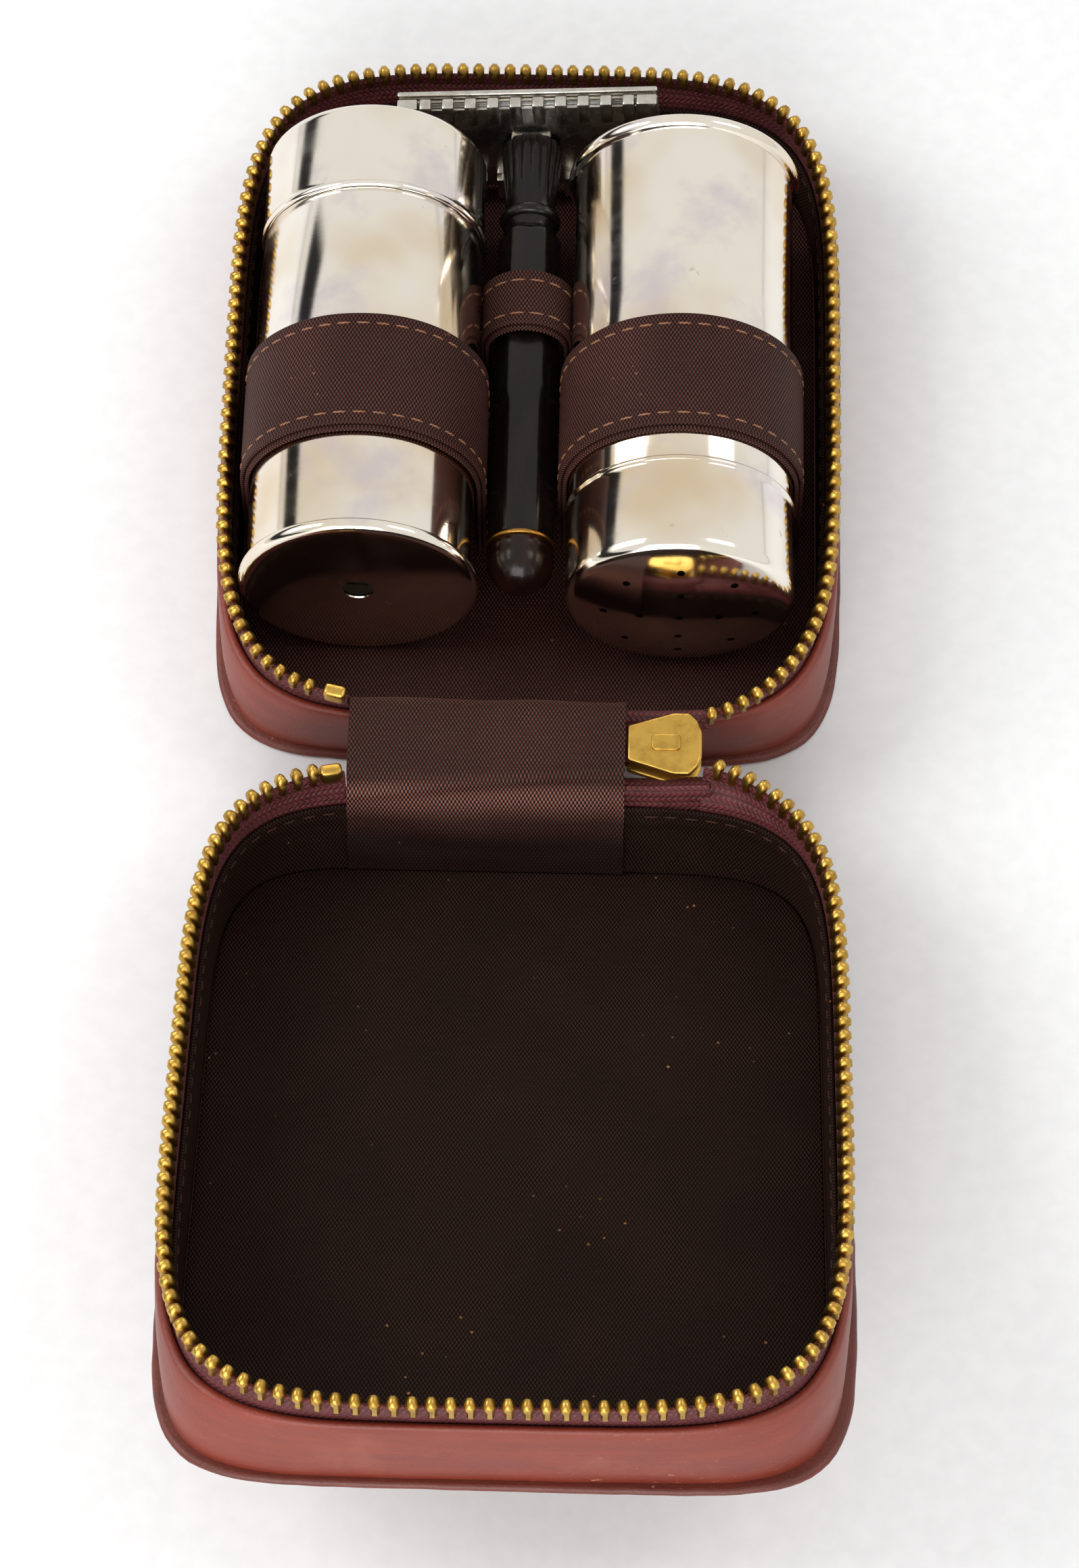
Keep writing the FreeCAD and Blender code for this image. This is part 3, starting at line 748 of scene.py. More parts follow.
def stitch_model():
    """One stitch: a short run of thread that dives into the cloth at both ends."""
    half = STITCH_LENGTH * MM / 2
    piece = started("stitch", bpy.ops.mesh.primitive_cylinder_add, vertices=THREAD_SIDES,
                    radius=THREAD_HALF * MM, depth=STITCH_LENGTH * MM, rotation=(0, pi / 2, 0))

    def shape(mesh):
        long_edges = [edge for edge in mesh.edges if edge.calc_length() > half]
        bmesh.ops.subdivide_edges(mesh, edges=long_edges, cuts=3, use_grid_fill=False)
        for vert in mesh.verts:
            share = abs(vert.co.x) / half
            vert.co.z -= THREAD_HALF * 1.5 * MM * share ** 4
            vert.co.y *= 1 - 0.35 * share ** 3

    return soften(reshape(piece, shape), 80)


def stitch_row(name, path, up_at, skip=None):
    """Stitches along a path on a surface whose outward direction is up_at(point)."""
    places = []
    count = int(path.length / STITCH_PITCH)
    for index in range(count):
        stray = (unlike(index, 4.0) - 0.5) * STITCH_STRAY
        point, along = path.at((index + 0.5) * path.length / count + stray)
        if skip and skip(point):
            continue
        up = up_at(point)
        drift = up.cross(along).normalized() * (unlike(index, 9.0) - 0.5) * STITCH_DRIFT
        places.append(stand(point + drift, along, up))
    return copies(name, stitch_model(), places)


WALL_COLUMNS = 256
BELLY = 0.3
BELLY_WAVE = 0.28
HIDE_WAVE = 0.12


def side_wall(half, side):
    """Leather wall with a rounded cut edge and the slight unevenness of a pulled hide."""
    foot, top = wall_low.z, wall_high.z
    edge = LEATHER / 2
    rise = top - edge - foot
    section = [(LEATHER_OUT, foot + rise * share) for share in shares_of(10)]
    section += curl(LEATHER_IN + edge, top - edge, edge, 30, 150, 4)
    section += [(LEATHER_IN, top - edge - rise * share) for share in shares_of(5)]
    section.append(section[0])
    shares = shares_of(WALL_COLUMNS)

    def place(i, j):
        out, height = section[j]
        belly = sin(pi * (height - foot) / (top - foot)) if height < top else 0.0
        pull = belly * (BELLY + BELLY_WAVE * wave(shares[i], height, 2.4, 0.05, side))
        pull += HIDE_WAVE * wave(shares[i], height, 9.0, 0.12, side + 5)
        return wall_point(side, shares[i], height, out + pull)

    lay = laid_out(shares, top), [height for _, height in section]
    piece = drape(half + "_side_wall_leather", WALL_COLUMNS, len(section) - 1, place, lay)
    settle(piece, LEATHER_FINISH, "case_" + half, [half + "_side_wall"])


LIP_FULL = 0.35
LIP_TRIM = 0.25
LIP_WAVE = 0.14
LIP_SWELL = 0.12
FULL_CORNER = 0.37


def bottom_panel(half, side):
    """Leather bottom with a rounded lip that stands out past the wall, fuller at one front corner."""
    top = panel_high.z
    edge = top / 2
    rings = [(shrink, 0.0, 0.0) for shrink in (0.0, 0.35, 0.7, 0.9)]
    rings += [(1.0, *spot) for spot in curl(LEATHER_OUT + LIP_REACH - edge, edge, edge, -90, 90, 6)]
    rings += [(shrink, 0.0, top) for shrink in (0.985, 0.9, 0.5, 0.0)]
    shares = shares_of(WALL_COLUMNS)

    def place(i, j):
        shrink, out, height = rings[j]
        if out:
            full = max(0.0, cos(2 * pi * (shares[i] - FULL_CORNER))) ** 2
            out += LIP_FULL * full - LIP_TRIM + LIP_WAVE * wave(shares[i], 0.0, 16.0, 0.0, side + 2)
            height *= 1 + LIP_SWELL * wave(shares[i], 0.0, 22.0, 0.0, side + 8)
        return wall_point(side, shares[i], 0.0, out, shrink) + Vector((0, 0, height))

    piece = drape(half + "_bottom_leather", WALL_COLUMNS, len(rings) - 1, place)
    settle(piece, LIP_FINISH, "case_" + half, [half + "_bottom_panel"])


LINING_COLUMNS = 384
HEM_DEPTH = 3.2
HEM_EASE = 0.4
HEM_STEP = 0.22
HEM_STITCH_DROP = 1.3
DIMPLE = 0.14
DIMPLE_REACH = 0.35
PUCKER = 0.1
PUCKER_RUN = 8
SLACK_FOLD = 0.32
FOLD_DIP = 0.1
STITCH_SINK = 0.1
STITCH_POINTS = 1500


def lining_depth(share, height, side):
    """How far the wall lining stands in from its cut line: hem, stitch dimple and puckers."""
    down = height - lining_high.z
    hem = HEM_STEP * smooth_share((down + HEM_DEPTH + HEM_EASE) / (2 * HEM_EASE))
    dimple = DIMPLE * bump(down + HEM_STITCH_DROP, DIMPLE_REACH)
    near_top = smooth_share((down + PUCKER_RUN) / PUCKER_RUN)
    pucker = PUCKER * near_top * wave(share, height, 24.0, 0.1, side + 3)
    up = (height - floor_high.z) / (lining_high.z - floor_high.z)
    slack = sin(pi * min(1.0, max(0.0, up)))
    loose = SLACK_FOLD * slack * wave(share, height, 7.0, 0.06, side + 6)
    return hem - dimple + pucker + max(loose, -FOLD_DIP)


def wall_lining(half, side):
    """Twill up the inside of the wall, turned over and stitched at its top."""
    foot, top = lining_low.z, lining_high.z
    roll = (LINING_OUT - LINING_IN + HEM_STEP) / 2
    rise = top - roll - foot
    section = [(LINING_IN, foot + rise * share, 1.0) for share in shares_of(22)]
    section += [(*spot, 0.0) for spot in curl(LINING_OUT - roll, top - roll, roll, 150, 30, 4)]
    section += [(LINING_OUT, top - roll - rise * share, 0.0) for share in shares_of(6)]
    section.append(section[0])
    walk = walked(section)
    shares = shares_of(LINING_COLUMNS)
    marks = laid_out(shares, top)

    def place(i, j):
        out, height, inner = section[j]
        return wall_point(side, shares[i], height, out - inner * lining_depth(shares[i], height, side))

    piece = drape(half + "_wall_twill", LINING_COLUMNS, len(section) - 1, place, (marks, walk))
    # The wall lining gets the darker twill, which is painted shade.
    settle(piece, SHADED_TWILL_FINISH, "case_" + half, [half + "_wall_lining"])
    height = top - HEM_STITCH_DROP
    points = []
    for share in shares_of(STITCH_POINTS):
        out = LINING_IN - lining_depth(share, height, side) - STITCH_SINK
        points.append(wall_point(side, share, height, out))
    middle = Vector((0, side * HALF_CENTRE, height))

    def behind_strip(point):
        return side * point.y < HALF_CENTRE / 2 and strip_low.x - 2 < point.x < strip_high.x + 2

    thread = stitch_row(half + "_hem_stitches", Path(points), lambda point: middle - point, behind_strip)
    settle(thread, HEM_THREAD_FINISH, "case_" + half)


FLOOR_RINGS = 26
FLOOR_COLUMNS = 192
FLOOR_SWELL = {"base": 0.1, "lid": 0.22}


def floor_lining(half, side):
    """Twill over the stiff board, with a soft edge and faint long wrinkles."""
    under, top = floor_low.z, floor_high.z
    out = LINING_IN - SOFT_GAP
    edge = (top - under) / 2
    rings = [(step / FLOOR_RINGS, 0.0, top) for step in range(FLOOR_RINGS)]
    rings += [(1.0, *spot) for spot in curl(-edge, under + edge, edge, 90, -90, 6)]
    rings += [(0.5, 0.0, under), (0.0, 0.0, under)]
    shares = shares_of(FLOOR_COLUMNS)

    def place(i, j):
        shrink, more, height = rings[j]
        point = wall_point(side, shares[i], under, out + more, shrink)
        if height == top:
            crease = noise.noise(Vector((point.x * 0.06, point.y * 0.016, side * 4.0)))
            ripple = noise.noise(Vector((point.x * 0.16, point.y * 0.05, side * 9.0)))
            height += FLOOR_SWELL[half] * (0.7 * crease + 0.5 * ripple) * min(1.0, (1 - shrink) * 12)
        point.z = height
        return point

    piece = drape(half + "_floor_twill", FLOOR_COLUMNS, len(rings) - 1, place, "plan")
    # The base's floor gets the lighter twill, a painted lit copy, and the lid's floor the darker one, which
    # is painted shade.
    finish = LIT_TWILL_FINISH if half == "base" else SHADED_TWILL_FINISH
    settle(piece, finish, "case_" + half, [half + "_floor_lining"])
    half_width, half_length, _ = level(under)
    flat = (2 * (half_width + out) * MM, 2 * (half_length + out) * MM)


TAPE_COLUMNS = 420
TAPE_ROWS = 16
TAPE_EDGE = 0.35
TAPE_BEAD = 0.14
TAPE_BEAD_DROP = 0.9
TAPE_BEAD_REACH = 0.5
TAPE_SLACK = 0.3
TAPE_START = 0.2


def zip_tape(half, side):
    """Corded tape, tucked behind the leather and bent out to the teeth."""
    foot, top = tape_low.z, tape_high.z
    rise = top - TAPE_EDGE - foot
    section = [(-TAPE_HALF, foot + rise * share) for share in shares_of(TAPE_ROWS)]
    section += [(-TAPE_HALF * 0.6, top - 0.05), (0.0, top), (TAPE_HALF * 0.6, top - 0.05)]
    section += [(TAPE_HALF, top - TAPE_EDGE - rise * share) for share in shares_of(TAPE_ROWS)]
    section.append(section[0])
    walk = walked(section)
    start = share_at(CHAIN_RIGHT - TAPE_START, CHAIN_HEIGHT, True)
    end = share_at(TAPE_LEFT, CHAIN_HEIGHT, False)
    shares = [start + (end - start) * share for share in shares_of(TAPE_COLUMNS)]
    marks = laid_out(shares, top)

    def place(i, j):
        out, height = section[j]
        fat = TAPE_BEAD * bump(height - top + TAPE_BEAD_DROP, TAPE_BEAD_REACH)
        out += fat if out > 0 else -fat
        slack = smooth_share((height - wall_high.z) / 2) * smooth_share((top - height) / 2)
        out += TAPE_SLACK * slack * wave(shares[i], height, 12.0, 0.1, side)
        return wall_point(side, shares[i], height, out)

    piece = drape(half + "_tape_cloth", TAPE_COLUMNS, len(section) - 1, place, (marks, walk), ends=True)
    settle(piece, TAPE_FINISH, "case_" + half, [half + "_zip_tape"])


# Rings of a tooth from its foot up: half width along the chain, reach out, reach in, and height
TOOTH_RINGS = (
    (0.42, 0.95, 0.95, 0.0),
    (0.68, 1.1, 1.1, 0.25),
    (0.66, 1.05, 1.1, 1.35),
    (0.78, 1.25, 1.0, 1.75),
    (0.97, 1.4, 0.8, 2.25),
    (0.72, 1.25, 0.62, 2.75),
    (0.42, 0.85, 0.35, 3.2),
    (0.12, 0.3, 0.05, 3.4),
)
TOOTH_SIDES = 8
TOOTH_ROUND = 0.75
HEAD_LEAN = 0.16
HEAD_START = 1.4
CHAIN_POINTS = 2000
UP = Vector((0, 0, 1))


def tooth_model():
    """One tooth: a clamp on the tape's edge with a rounded head that hooks outwards."""
    def place(i, j):
        half_width, reach_out, reach_in, height = TOOTH_RINGS[j]
        turn = 2 * pi * i / TOOTH_SIDES + pi / TOOTH_SIDES
        across = squared(sin(turn), TOOTH_ROUND)
        lean = HEAD_LEAN * smooth_share(height - HEAD_START)
        x = half_width * squared(cos(turn), TOOTH_ROUND) + lean
        return x, across * (reach_in if across > 0 else reach_out), height

    return drape("tooth", TOOTH_SIDES, len(TOOTH_RINGS) - 1, place, ends=True, angle=50)


def zip_teeth(half, side, phase):
    """Row of brass teeth, heads outwards, from the slider round to the end stop."""
    start = share_at(CHAIN_RIGHT, CHAIN_HEIGHT, True)
    end = share_at(CHAIN_LEFT, CHAIN_HEIGHT, False)
    shares = [start + (end - start) * share for share in shares_of(CHAIN_POINTS)]
    path = Path([wall_point(side, share, CHAIN_HEIGHT) for share in shares])
    places = []
    for index in range(TOOTH_COUNT):
        point, along = path.at((index + phase) * path.length / TOOTH_COUNT)
        places.append(stand(Vector((point.x, point.y, teeth_low.z)), along * side, UP))
    model = tooth_model()
    if side < 0:
        for vert in model.data.vertices:
            vert.co.x = -vert.co.x
        edit(model, weld)
    piece = copies(half + "_brass_teeth", model, places)
    settle(piece, BRASS_FINISH, "case_" + half, [half + "_zip_teeth"])


STOP_EDGE = 0.75
STOP_PINCH = 0.22
STOP_SHOULDER = 1.5


def zip_stop(half, side):
    """Pinched brass clip at the end of the chain, set along it."""
    reach = STOP_LENGTH / 2
    low = (-reach, -TOOTH_HALF_DEPTH, 0)
    high = (reach, TOOTH_HALF_DEPTH, stop_high.z - stop_low.z)
    piece = block(half + "_brass_stop", low, high, STOP_EDGE, 4)

    def pinch(mesh):
        for vert in mesh.verts:
            if vert.co.z > STOP_SHOULDER * MM:
                vert.co.z -= STOP_PINCH * MM * (1 - (vert.co.x / (reach * MM)) ** 2)

    reshape(piece, pinch)
    middle = share_at(CHAIN_LEFT + STOP_GAP + reach, CHAIN_HEIGHT, False)
    point = wall_point(side, middle, CHAIN_HEIGHT)
    along = wall_point(side, middle + 0.004, CHAIN_HEIGHT) - wall_point(side, middle - 0.004, CHAIN_HEIGHT)
    point.z = stop_low.z
    piece.data.transform(stand(point, along, UP))
    settle(piece, BRASS_FINISH, "case_" + half, [half + "_zip_stop"])


def cut_corners(points, times):
    """A bent line with its corners cut again and again, so that it curves."""
    for _ in range(times):
        eased = [points[0]]
        for first, second in zip(points, points[1:]):
            eased += [first.lerp(second, 0.25), first.lerp(second, 0.75)]
        points = eased + [points[-1]]
    return points


def swung(half, line):
    """Points over a fold, out from the middle and up, turned with the half that they lie on."""
    turn = radians(LID_TILT) if half == "lid" else 0.0
    points = []
    for y, z in line:
        out, up = max(y - FOLD_Y, 0.0), z - FOLD_HEIGHT
        share = turn * smooth_share(out)
        y += out * (cos(share) - 1) - up * sin(share)
        points.append(Vector((y, FOLD_HEIGHT + out * sin(share) + up * cos(share), 0)))
    return points


STRIP_COLUMNS = 90
STRIP_ROWS = 80
STRIP_THICKNESS = 0.5
STRIP_DROP = ((7.5, 18.6), (8.8, 14.8), (9.8, 8.6), (10.7, 4.0), (10.85, 3.0))
STRIP_BLEND = (2.6, 9.4)
STRIP_RIPPLE = 0.5
STRIP_CROWN = 0.25
STRIP_DIP = 0.15
STRIP_HEM = 0.12
STRIP_HEM_START = 0.955
STRIP_EDGE_WAVE = 0.25
CREASE = 0.45
CREASE_REACH = 1.1
CREASE_SLANT = 5.0
CREASE_START = 9.5


def hinge_strip(half, side):
    """Half of the cloth over the hinge: across the gap, over the edge and down, a little slack."""
    low, width = strip_low.x, strip_high.x - strip_low.x
    crown = strip_high.z - STRIP_THICKNESS / 2
    points = ((0, crown), (3, crown), (FOLD_Y, crown - 0.1)) + STRIP_DROP
    path = Path(cut_corners(swung(half, points), 4))
    across = [width * share for share in shares_of(STRIP_COLUMNS)]
    marks = [path.length * share for share in shares_of(STRIP_ROWS)]

    def place(i, j):
        x, distance, share = low + across[i], marks[j], j / STRIP_ROWS
        point, along = path.at(distance)
        normal = Vector((-along.y, along.x, 0))
        down = smooth_share((share - 0.2) / 0.2) * smooth_share((1 - share) / 0.15)
        slant = bump(i / STRIP_COLUMNS * CREASE_SLANT + distance - CREASE_START, CREASE_REACH)
        crease = CREASE * slant * smooth_share((share - 0.12) / 0.1)
        ripple = noise.noise(Vector((x * 0.09, distance * 0.16, side * 3.0)))
        arch = STRIP_CROWN * sin(pi * i / STRIP_COLUMNS)
        swell = down * (STRIP_RIPPLE * ripple + arch) + crease * (side < 0)
        edge = STRIP_HEM * (abs(2 * i / STRIP_COLUMNS - 1) > STRIP_HEM_START)
        point = point + normal * (max(swell, -STRIP_DIP) + edge)
        wavy = STRIP_EDGE_WAVE * noise.noise(Vector((distance * 0.2, i / STRIP_COLUMNS * 3, side * 7.0)))
        return x + wavy * down, side * point.x, point.y

    piece = drape(half + "_strip_twill", STRIP_COLUMNS, STRIP_ROWS, place, (across, marks))
    modify(piece, "SOLIDIFY", thickness=STRIP_THICKNESS * MM, offset=0)
    soften(piece, 60)
    # Its finish carries a painted highlight band and painted shade along the strip.
    settle(piece, STRIP_FINISH, None, [half + "_hinge_strip"])
    over_fold(piece, half, side, *STRIP_BLEND)


TAPE_END_COLUMNS = 24
TAPE_END_ROWS = 20
TAPE_END_LINE = ((4.2, 16.4), (5.4, 17.2), (6.4, 17.6), (7.1, 17.0), (7.35, 15.6), (7.55, 13.8), (8.2, 8.9))
TAPE_END_THICKNESS = 0.5
TAPE_END_UNDER = 3.0
TAPE_END_OVER = 0.6
TAPE_END_RISE = 0.8
TAPE_END_RUN = 9
TAPE_END_BLEND = (4.0, 8.4)


def tape_end(half, side):
    """End of a zip tape that runs from the first tooth past the slider to the strip."""
    line = Path(cut_corners(swung(half, TAPE_END_LINE), 3))
    left, right = strip_high.x - TAPE_END_UNDER, CHAIN_RIGHT + TAPE_END_OVER
    across = [(right - left) * share for share in shares_of(TAPE_END_COLUMNS)]
    marks = [line.length * share for share in shares_of(TAPE_END_ROWS)]

    def place(i, j):
        point, _ = line.at(marks[j])
        x = left + across[i]
        near_teeth = smooth_share((x - right + TAPE_END_RUN) / TAPE_END_RUN)
        rise = TAPE_END_RISE * near_teeth * smooth_share(1 - j / TAPE_END_ROWS)
        return x, side * point.x, point.y + rise

    piece = drape(half + "_tape_end", TAPE_END_COLUMNS, TAPE_END_ROWS, place, (across, marks))
    modify(piece, "SOLIDIFY", thickness=TAPE_END_THICKNESS * MM, offset=0)
    soften(piece, 60)
    settle(piece, TAPE_FINISH)
    over_fold(piece, half, side, *TAPE_END_BLEND)


TAIL_COLUMNS = 24
TAIL_ROWS = 16
TAIL_GAP = 0.06
TAIL_ROUND = 0.35
STRAP_EDGE = 0.45
CLIP_EDGE = 0.4


def hinge_pieces():
    """Leather under the strip, the joined tape ends and their brass clip."""
    strap = block("hinge_strap", *span("hinge_leather"), STRAP_EDGE)
    settle(strap, LEATHER_FINISH, "hinge_spine", ["hinge_leather"])
    low, high = span("zip_tail")
    edge = (high.z - low.z - TAIL_GAP) / 4
    along = [(high.x - low.x) * share for share in shares_of(TAIL_COLUMNS)]
    across = [2 * high.y * share for share in shares_of(TAIL_ROWS)]
    plies = []
    for middle in (low.z + edge, high.z - edge):
        def place(i, j, middle=middle):
            turn = 2 * pi * j / TAIL_ROWS
            return low.x + along[i], squared(cos(turn), TAIL_ROUND) * high.y, middle + edge * sin(turn)

        plies.append(drape("tail_ply", TAIL_COLUMNS, TAIL_ROWS, place, (along, across), ends=True))
    settle(joined("tape_tail", plies), TAPE_FINISH, "hinge_spine", ["zip_tail"])
    clip = block("tail_clip", *span("zip_bottom_stop"), CLIP_EDGE)
    settle(clip, BRASS_FINISH, "hinge_spine", ["zip_bottom_stop"])


SLIDER_PLATE = 1.1
SLIDER_PANEL_RISE = 0.3
SLIDER_SIDE = ((0.0, 0.56), (0.32, 0.78), (0.62, 1.0), (0.84, 1.0), (0.95, 0.74), (1.0, 0.42))
SLIDER_PANEL = (0.32, 0.72, 0.26)
SLIDER_POST = (0.7, 0.95)
POST_HALF = 1.5
SINK = 0.4
PANEL_CORNERS = 28
PANEL_ROUND = 0.4
PIN_SHARE = 0.55
PIN_RADIUS = 0.7
LUG_RADIUS = 1.6
LUG_WALL = 0.8
LUG_EDGE = 0.2
PULL_EYE_HALF = 1.5
PULL_GAP = 0.05


def zip_slider():
    """Brass slider: two shield-shaped plates on a post, a bare raised panel, and lugs for the pull below."""
    low, high = slider_low, slider_high
    length, half = high.x - low.x, high.y
    corners = [(low.x + x * length, -y * half) for x, y in SLIDER_SIDE]
    corners += [(low.x + x * length, y * half) for x, y in SLIDER_SIDE[::-1]]
    roof = high.z - SLIDER_PANEL_RISE
    lug_z = low.z + LUG_RADIUS
    base = lug_z + LUG_RADIUS
    panel_left, panel_right, panel_half = SLIDER_PANEL
    middle = low.x + (panel_left + panel_right) / 2 * length
    reach = (panel_right - panel_left) / 2 * length
    panel = []
    for step in range(PANEL_CORNERS):
        turn = 2 * pi * step / PANEL_CORNERS
        y = squared(sin(turn), PANEL_ROUND) * panel_half * half
        panel.append((middle + squared(cos(turn), PANEL_ROUND) * reach, y))
    post_left, post_right = (low.x + share * length for share in SLIDER_POST)
    pieces = [
        plate("slider_roof", corners, roof - SLIDER_PLATE, roof, 0.42, 4),
        plate("slider_base", corners, base, base + SLIDER_PLATE, 0.3, 3),
        block("slider_post", (post_left, -POST_HALF, base + SINK),
              (post_right, POST_HALF, roof - SINK), 0.2),
        plate("slider_panel", panel, roof - SINK, high.z, 0.25, 4),
    ]
    pin_x = low.x + PIN_SHARE * length
    inside = PULL_EYE_HALF + PULL_GAP
    for bottom in (-inside - LUG_WALL, inside):
        section = disc(LUG_RADIUS, bottom, bottom + LUG_WALL, LUG_EDGE)
        pieces.append(turned("slider_lug", section, pin_x, lug_z, 32))
        pieces.append(block("slider_stem", (pin_x - LUG_RADIUS, bottom, lug_z),
                            (pin_x + LUG_RADIUS, bottom + LUG_WALL, base + 0.3), 0.15))
    reach = inside + LUG_EDGE
    section = [(0.0, -reach), (PIN_RADIUS, -reach), (PIN_RADIUS, reach), (0.0, reach)]
    pieces.append(turned("slider_pin", section, pin_x, lug_z, 24))
    settle(joined("brass_slider", pieces), BRASS_FINISH, "hinge_spine", ["zip_slider"])


PULL_HALF_THICKNESS = 0.6
PULL_NECK = (-3.4, -1.1)
PULL_TAB_TOP = -2.4
PULL_BORDER = 0.75
PULL_PANEL_DEPTH = 0.14
PULL_NARROWING = 0.3
PULL_NARROW_RUN = 3.0


def zip_pull():
    """Flat brass tab with a rolled eye and a raised border."""
    low, high = span("zip_pull")
    x, _, _ = axis("zip_pull")
    left, right = x - PULL_HALF_THICKNESS, x + PULL_HALF_THICKNESS
    eye_half = PULL_EYE_HALF
    pin_z = slider_low.z + LUG_RADIUS
    bore = PIN_RADIUS + PULL_GAP
    section = disc(LUG_RADIUS - PULL_GAP, -eye_half, eye_half, 0.25, bore) + [(bore, -eye_half)]
    eye = turned("pull_eye", section, x, pin_z, 32)
    neck_low, neck_high = (pin_z + drop for drop in PULL_NECK)
    neck = block("pull_neck", (left, -eye_half, neck_low), (right, eye_half, neck_high), 0.25)
    tab = block("pull_tab", (left, low.y, low.z), (right, high.y, pin_z + PULL_TAB_TOP), 0.3)

    def sink(mesh):
        faces = [face for face in mesh.faces if abs(face.normal.x) > 0.99]
        bmesh.ops.inset_region(mesh, faces=faces, thickness=PULL_BORDER * MM, depth=0.0)
        for face in faces:
            for vert in face.verts:
                vert.co.x -= copysign(PULL_PANEL_DEPTH * MM, face.normal.x)
        for vert in mesh.verts:
            share = (vert.co.z / MM - low.z) / PULL_NARROW_RUN
            if share < 1:
                vert.co.y *= 1 - PULL_NARROWING * (1 - share) ** 2

    reshape(tab, sink)
    settle(joined("brass_pull", [eye, neck, tab]), BRASS_FINISH, "zip_pull", ["zip_pull"])


LOOP_PLY = 0.64
LOOP_PLY_GAP = 0.08
LOOP_EDGE_STITCH = 1.9
LOOP_STAGGER = 0.8
LOOP_DIP = 0.1
LOOP_DIP_REACH = 0.4
LOOP_STRAY = 0.12
LOOP_GAP = 0.04
ARC_STEPS = 72
LEG_STEPS = 10


def arch_path(x, z, radius, foot):
    """Line of a loop seen end on: up from the floor, over the tool and down."""
    legs = [foot + (z - foot) * step / LEG_STEPS for step in range(LEG_STEPS)]
    line = [(x - radius, height) for height in legs]
    line += curl(x, z, radius, 180, 0, ARC_STEPS)
    line += [(x + radius, height) for height in legs[::-1]]
    return Path([Vector((across, 0, height)) for across, height in line])


def loop_ply(name, x, z, radius, low_y, high_y, foot):
    """One layer of a loop, folded round at both edges, a little uneven along them."""
    path = arch_path(x, z, radius, foot)
    half = LOOP_PLY / 2
    first, last = low_y + half, high_y - half
    inner = [first + (last - first) * share for share in shares_of(10)[1:-1]]
    section = curl(first, 0, half, 90, 270, 6) + [(y, -half) for y in inner]
    section += curl(last, 0, half, -90, 90, 6) + [(y, half) for y in inner[::-1]]
    section.append(section[0])

    def place(i, j):
        y, out = section[j]
        point, along = path.at(path.marks[i])
        normal = Vector((-along.z, 0, along.x))
        dip = 0.0
        if out > 0:
            for row in (low_y + LOOP_EDGE_STITCH, high_y - LOOP_EDGE_STITCH):
                dip += LOOP_DIP * bump(y - row, LOOP_DIP_REACH)
        stray = LOOP_STRAY * noise.noise(Vector((path.marks[i] * 0.12, y * 0.05, x)))
        return point + normal * (out - dip) + Vector((0, y + stray, 0))

    lay = path.marks, walked(section)
    return drape(name, len(path.points) - 1, len(section) - 1, place, lay, ends=True, angle=60), path


def tool_loop(node, x, z, inner):
    """A folded twill loop of two layers with a row of stitches along each edge."""
    low, high = span(node)
    foot = floor_high.z + 0.05
    outer = inner + LOOP_PLY + LOOP_PLY_GAP + LOOP_PLY / 2
    lower, _ = loop_ply(node + "_under_ply", x, z, inner + LOOP_PLY / 2, low.y, high.y - LOOP_STAGGER, foot)
    upper, path = loop_ply(node + "_top_ply", x, z, outer, low.y + LOOP_STAGGER, high.y, foot)
    line = arch_path(x, z, outer + LOOP_PLY / 2 - LOOP_GAP, foot + 1)
    rows = []
    for y in (low.y + LOOP_STAGGER + LOOP_EDGE_STITCH, high.y - LOOP_EDGE_STITCH):
        points = Path([point + Vector((0, y, 0)) for point in line.points])
        centre = Vector((x, y, z))
        rows.append(stitch_row(node + "_row", points, lambda point, centre=centre: point - centre))
    thread = joined(node + "_stitches", rows)
    # The loops get the lighter twill, a painted lit copy of the lining.
    for piece in (lower, upper):
        settle(piece, LIT_TWILL_FINISH, "case_base")
    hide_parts(node)
    settle(thread, THREAD_FINISH, "case_base")


TIN_WALL = 0.5
BEAD = 0.85
BEAD_TUBE = 1.15
BEAD_OUT = 0.05
NECK_INSET = 0.6
NECK_LENGTH = 6.0
CAP_LENGTH = 18.5
CAP_WALL = 0.85
CAP_ROUND = 2.2
CAP_DOME = 60.0
CAP_GAP = 0.05
LIP_BEAD = 0.55
SEAM_GAP = 0.1
END_HOLE = 2.3
VENT = 0.6
VENT_SIDES = 20
VENT_DRILL = 12
VENT_RINGS = ((0.0, 1), (6.0, 4), (11.5, 8))


def dome(radius, end, edge, curve):
    """Section of a domed end from its wall to its middle: an eased edge, then the dome."""
    slope = asin((radius - edge) / (curve - edge))
    rise = end - curve + (curve - edge) * cos(slope)
    first = 90 - degrees(slope)
    return curl(radius - edge, rise, edge, 0, first, 10) + curl(0, end - curve, curve, first, 90, 14)[1:]


def tin_axis(node):
    """X and Z of a tin's axis, and the radius of its wall."""
    x, z, reach = axis(node)
    return x, z, reach - BEAD


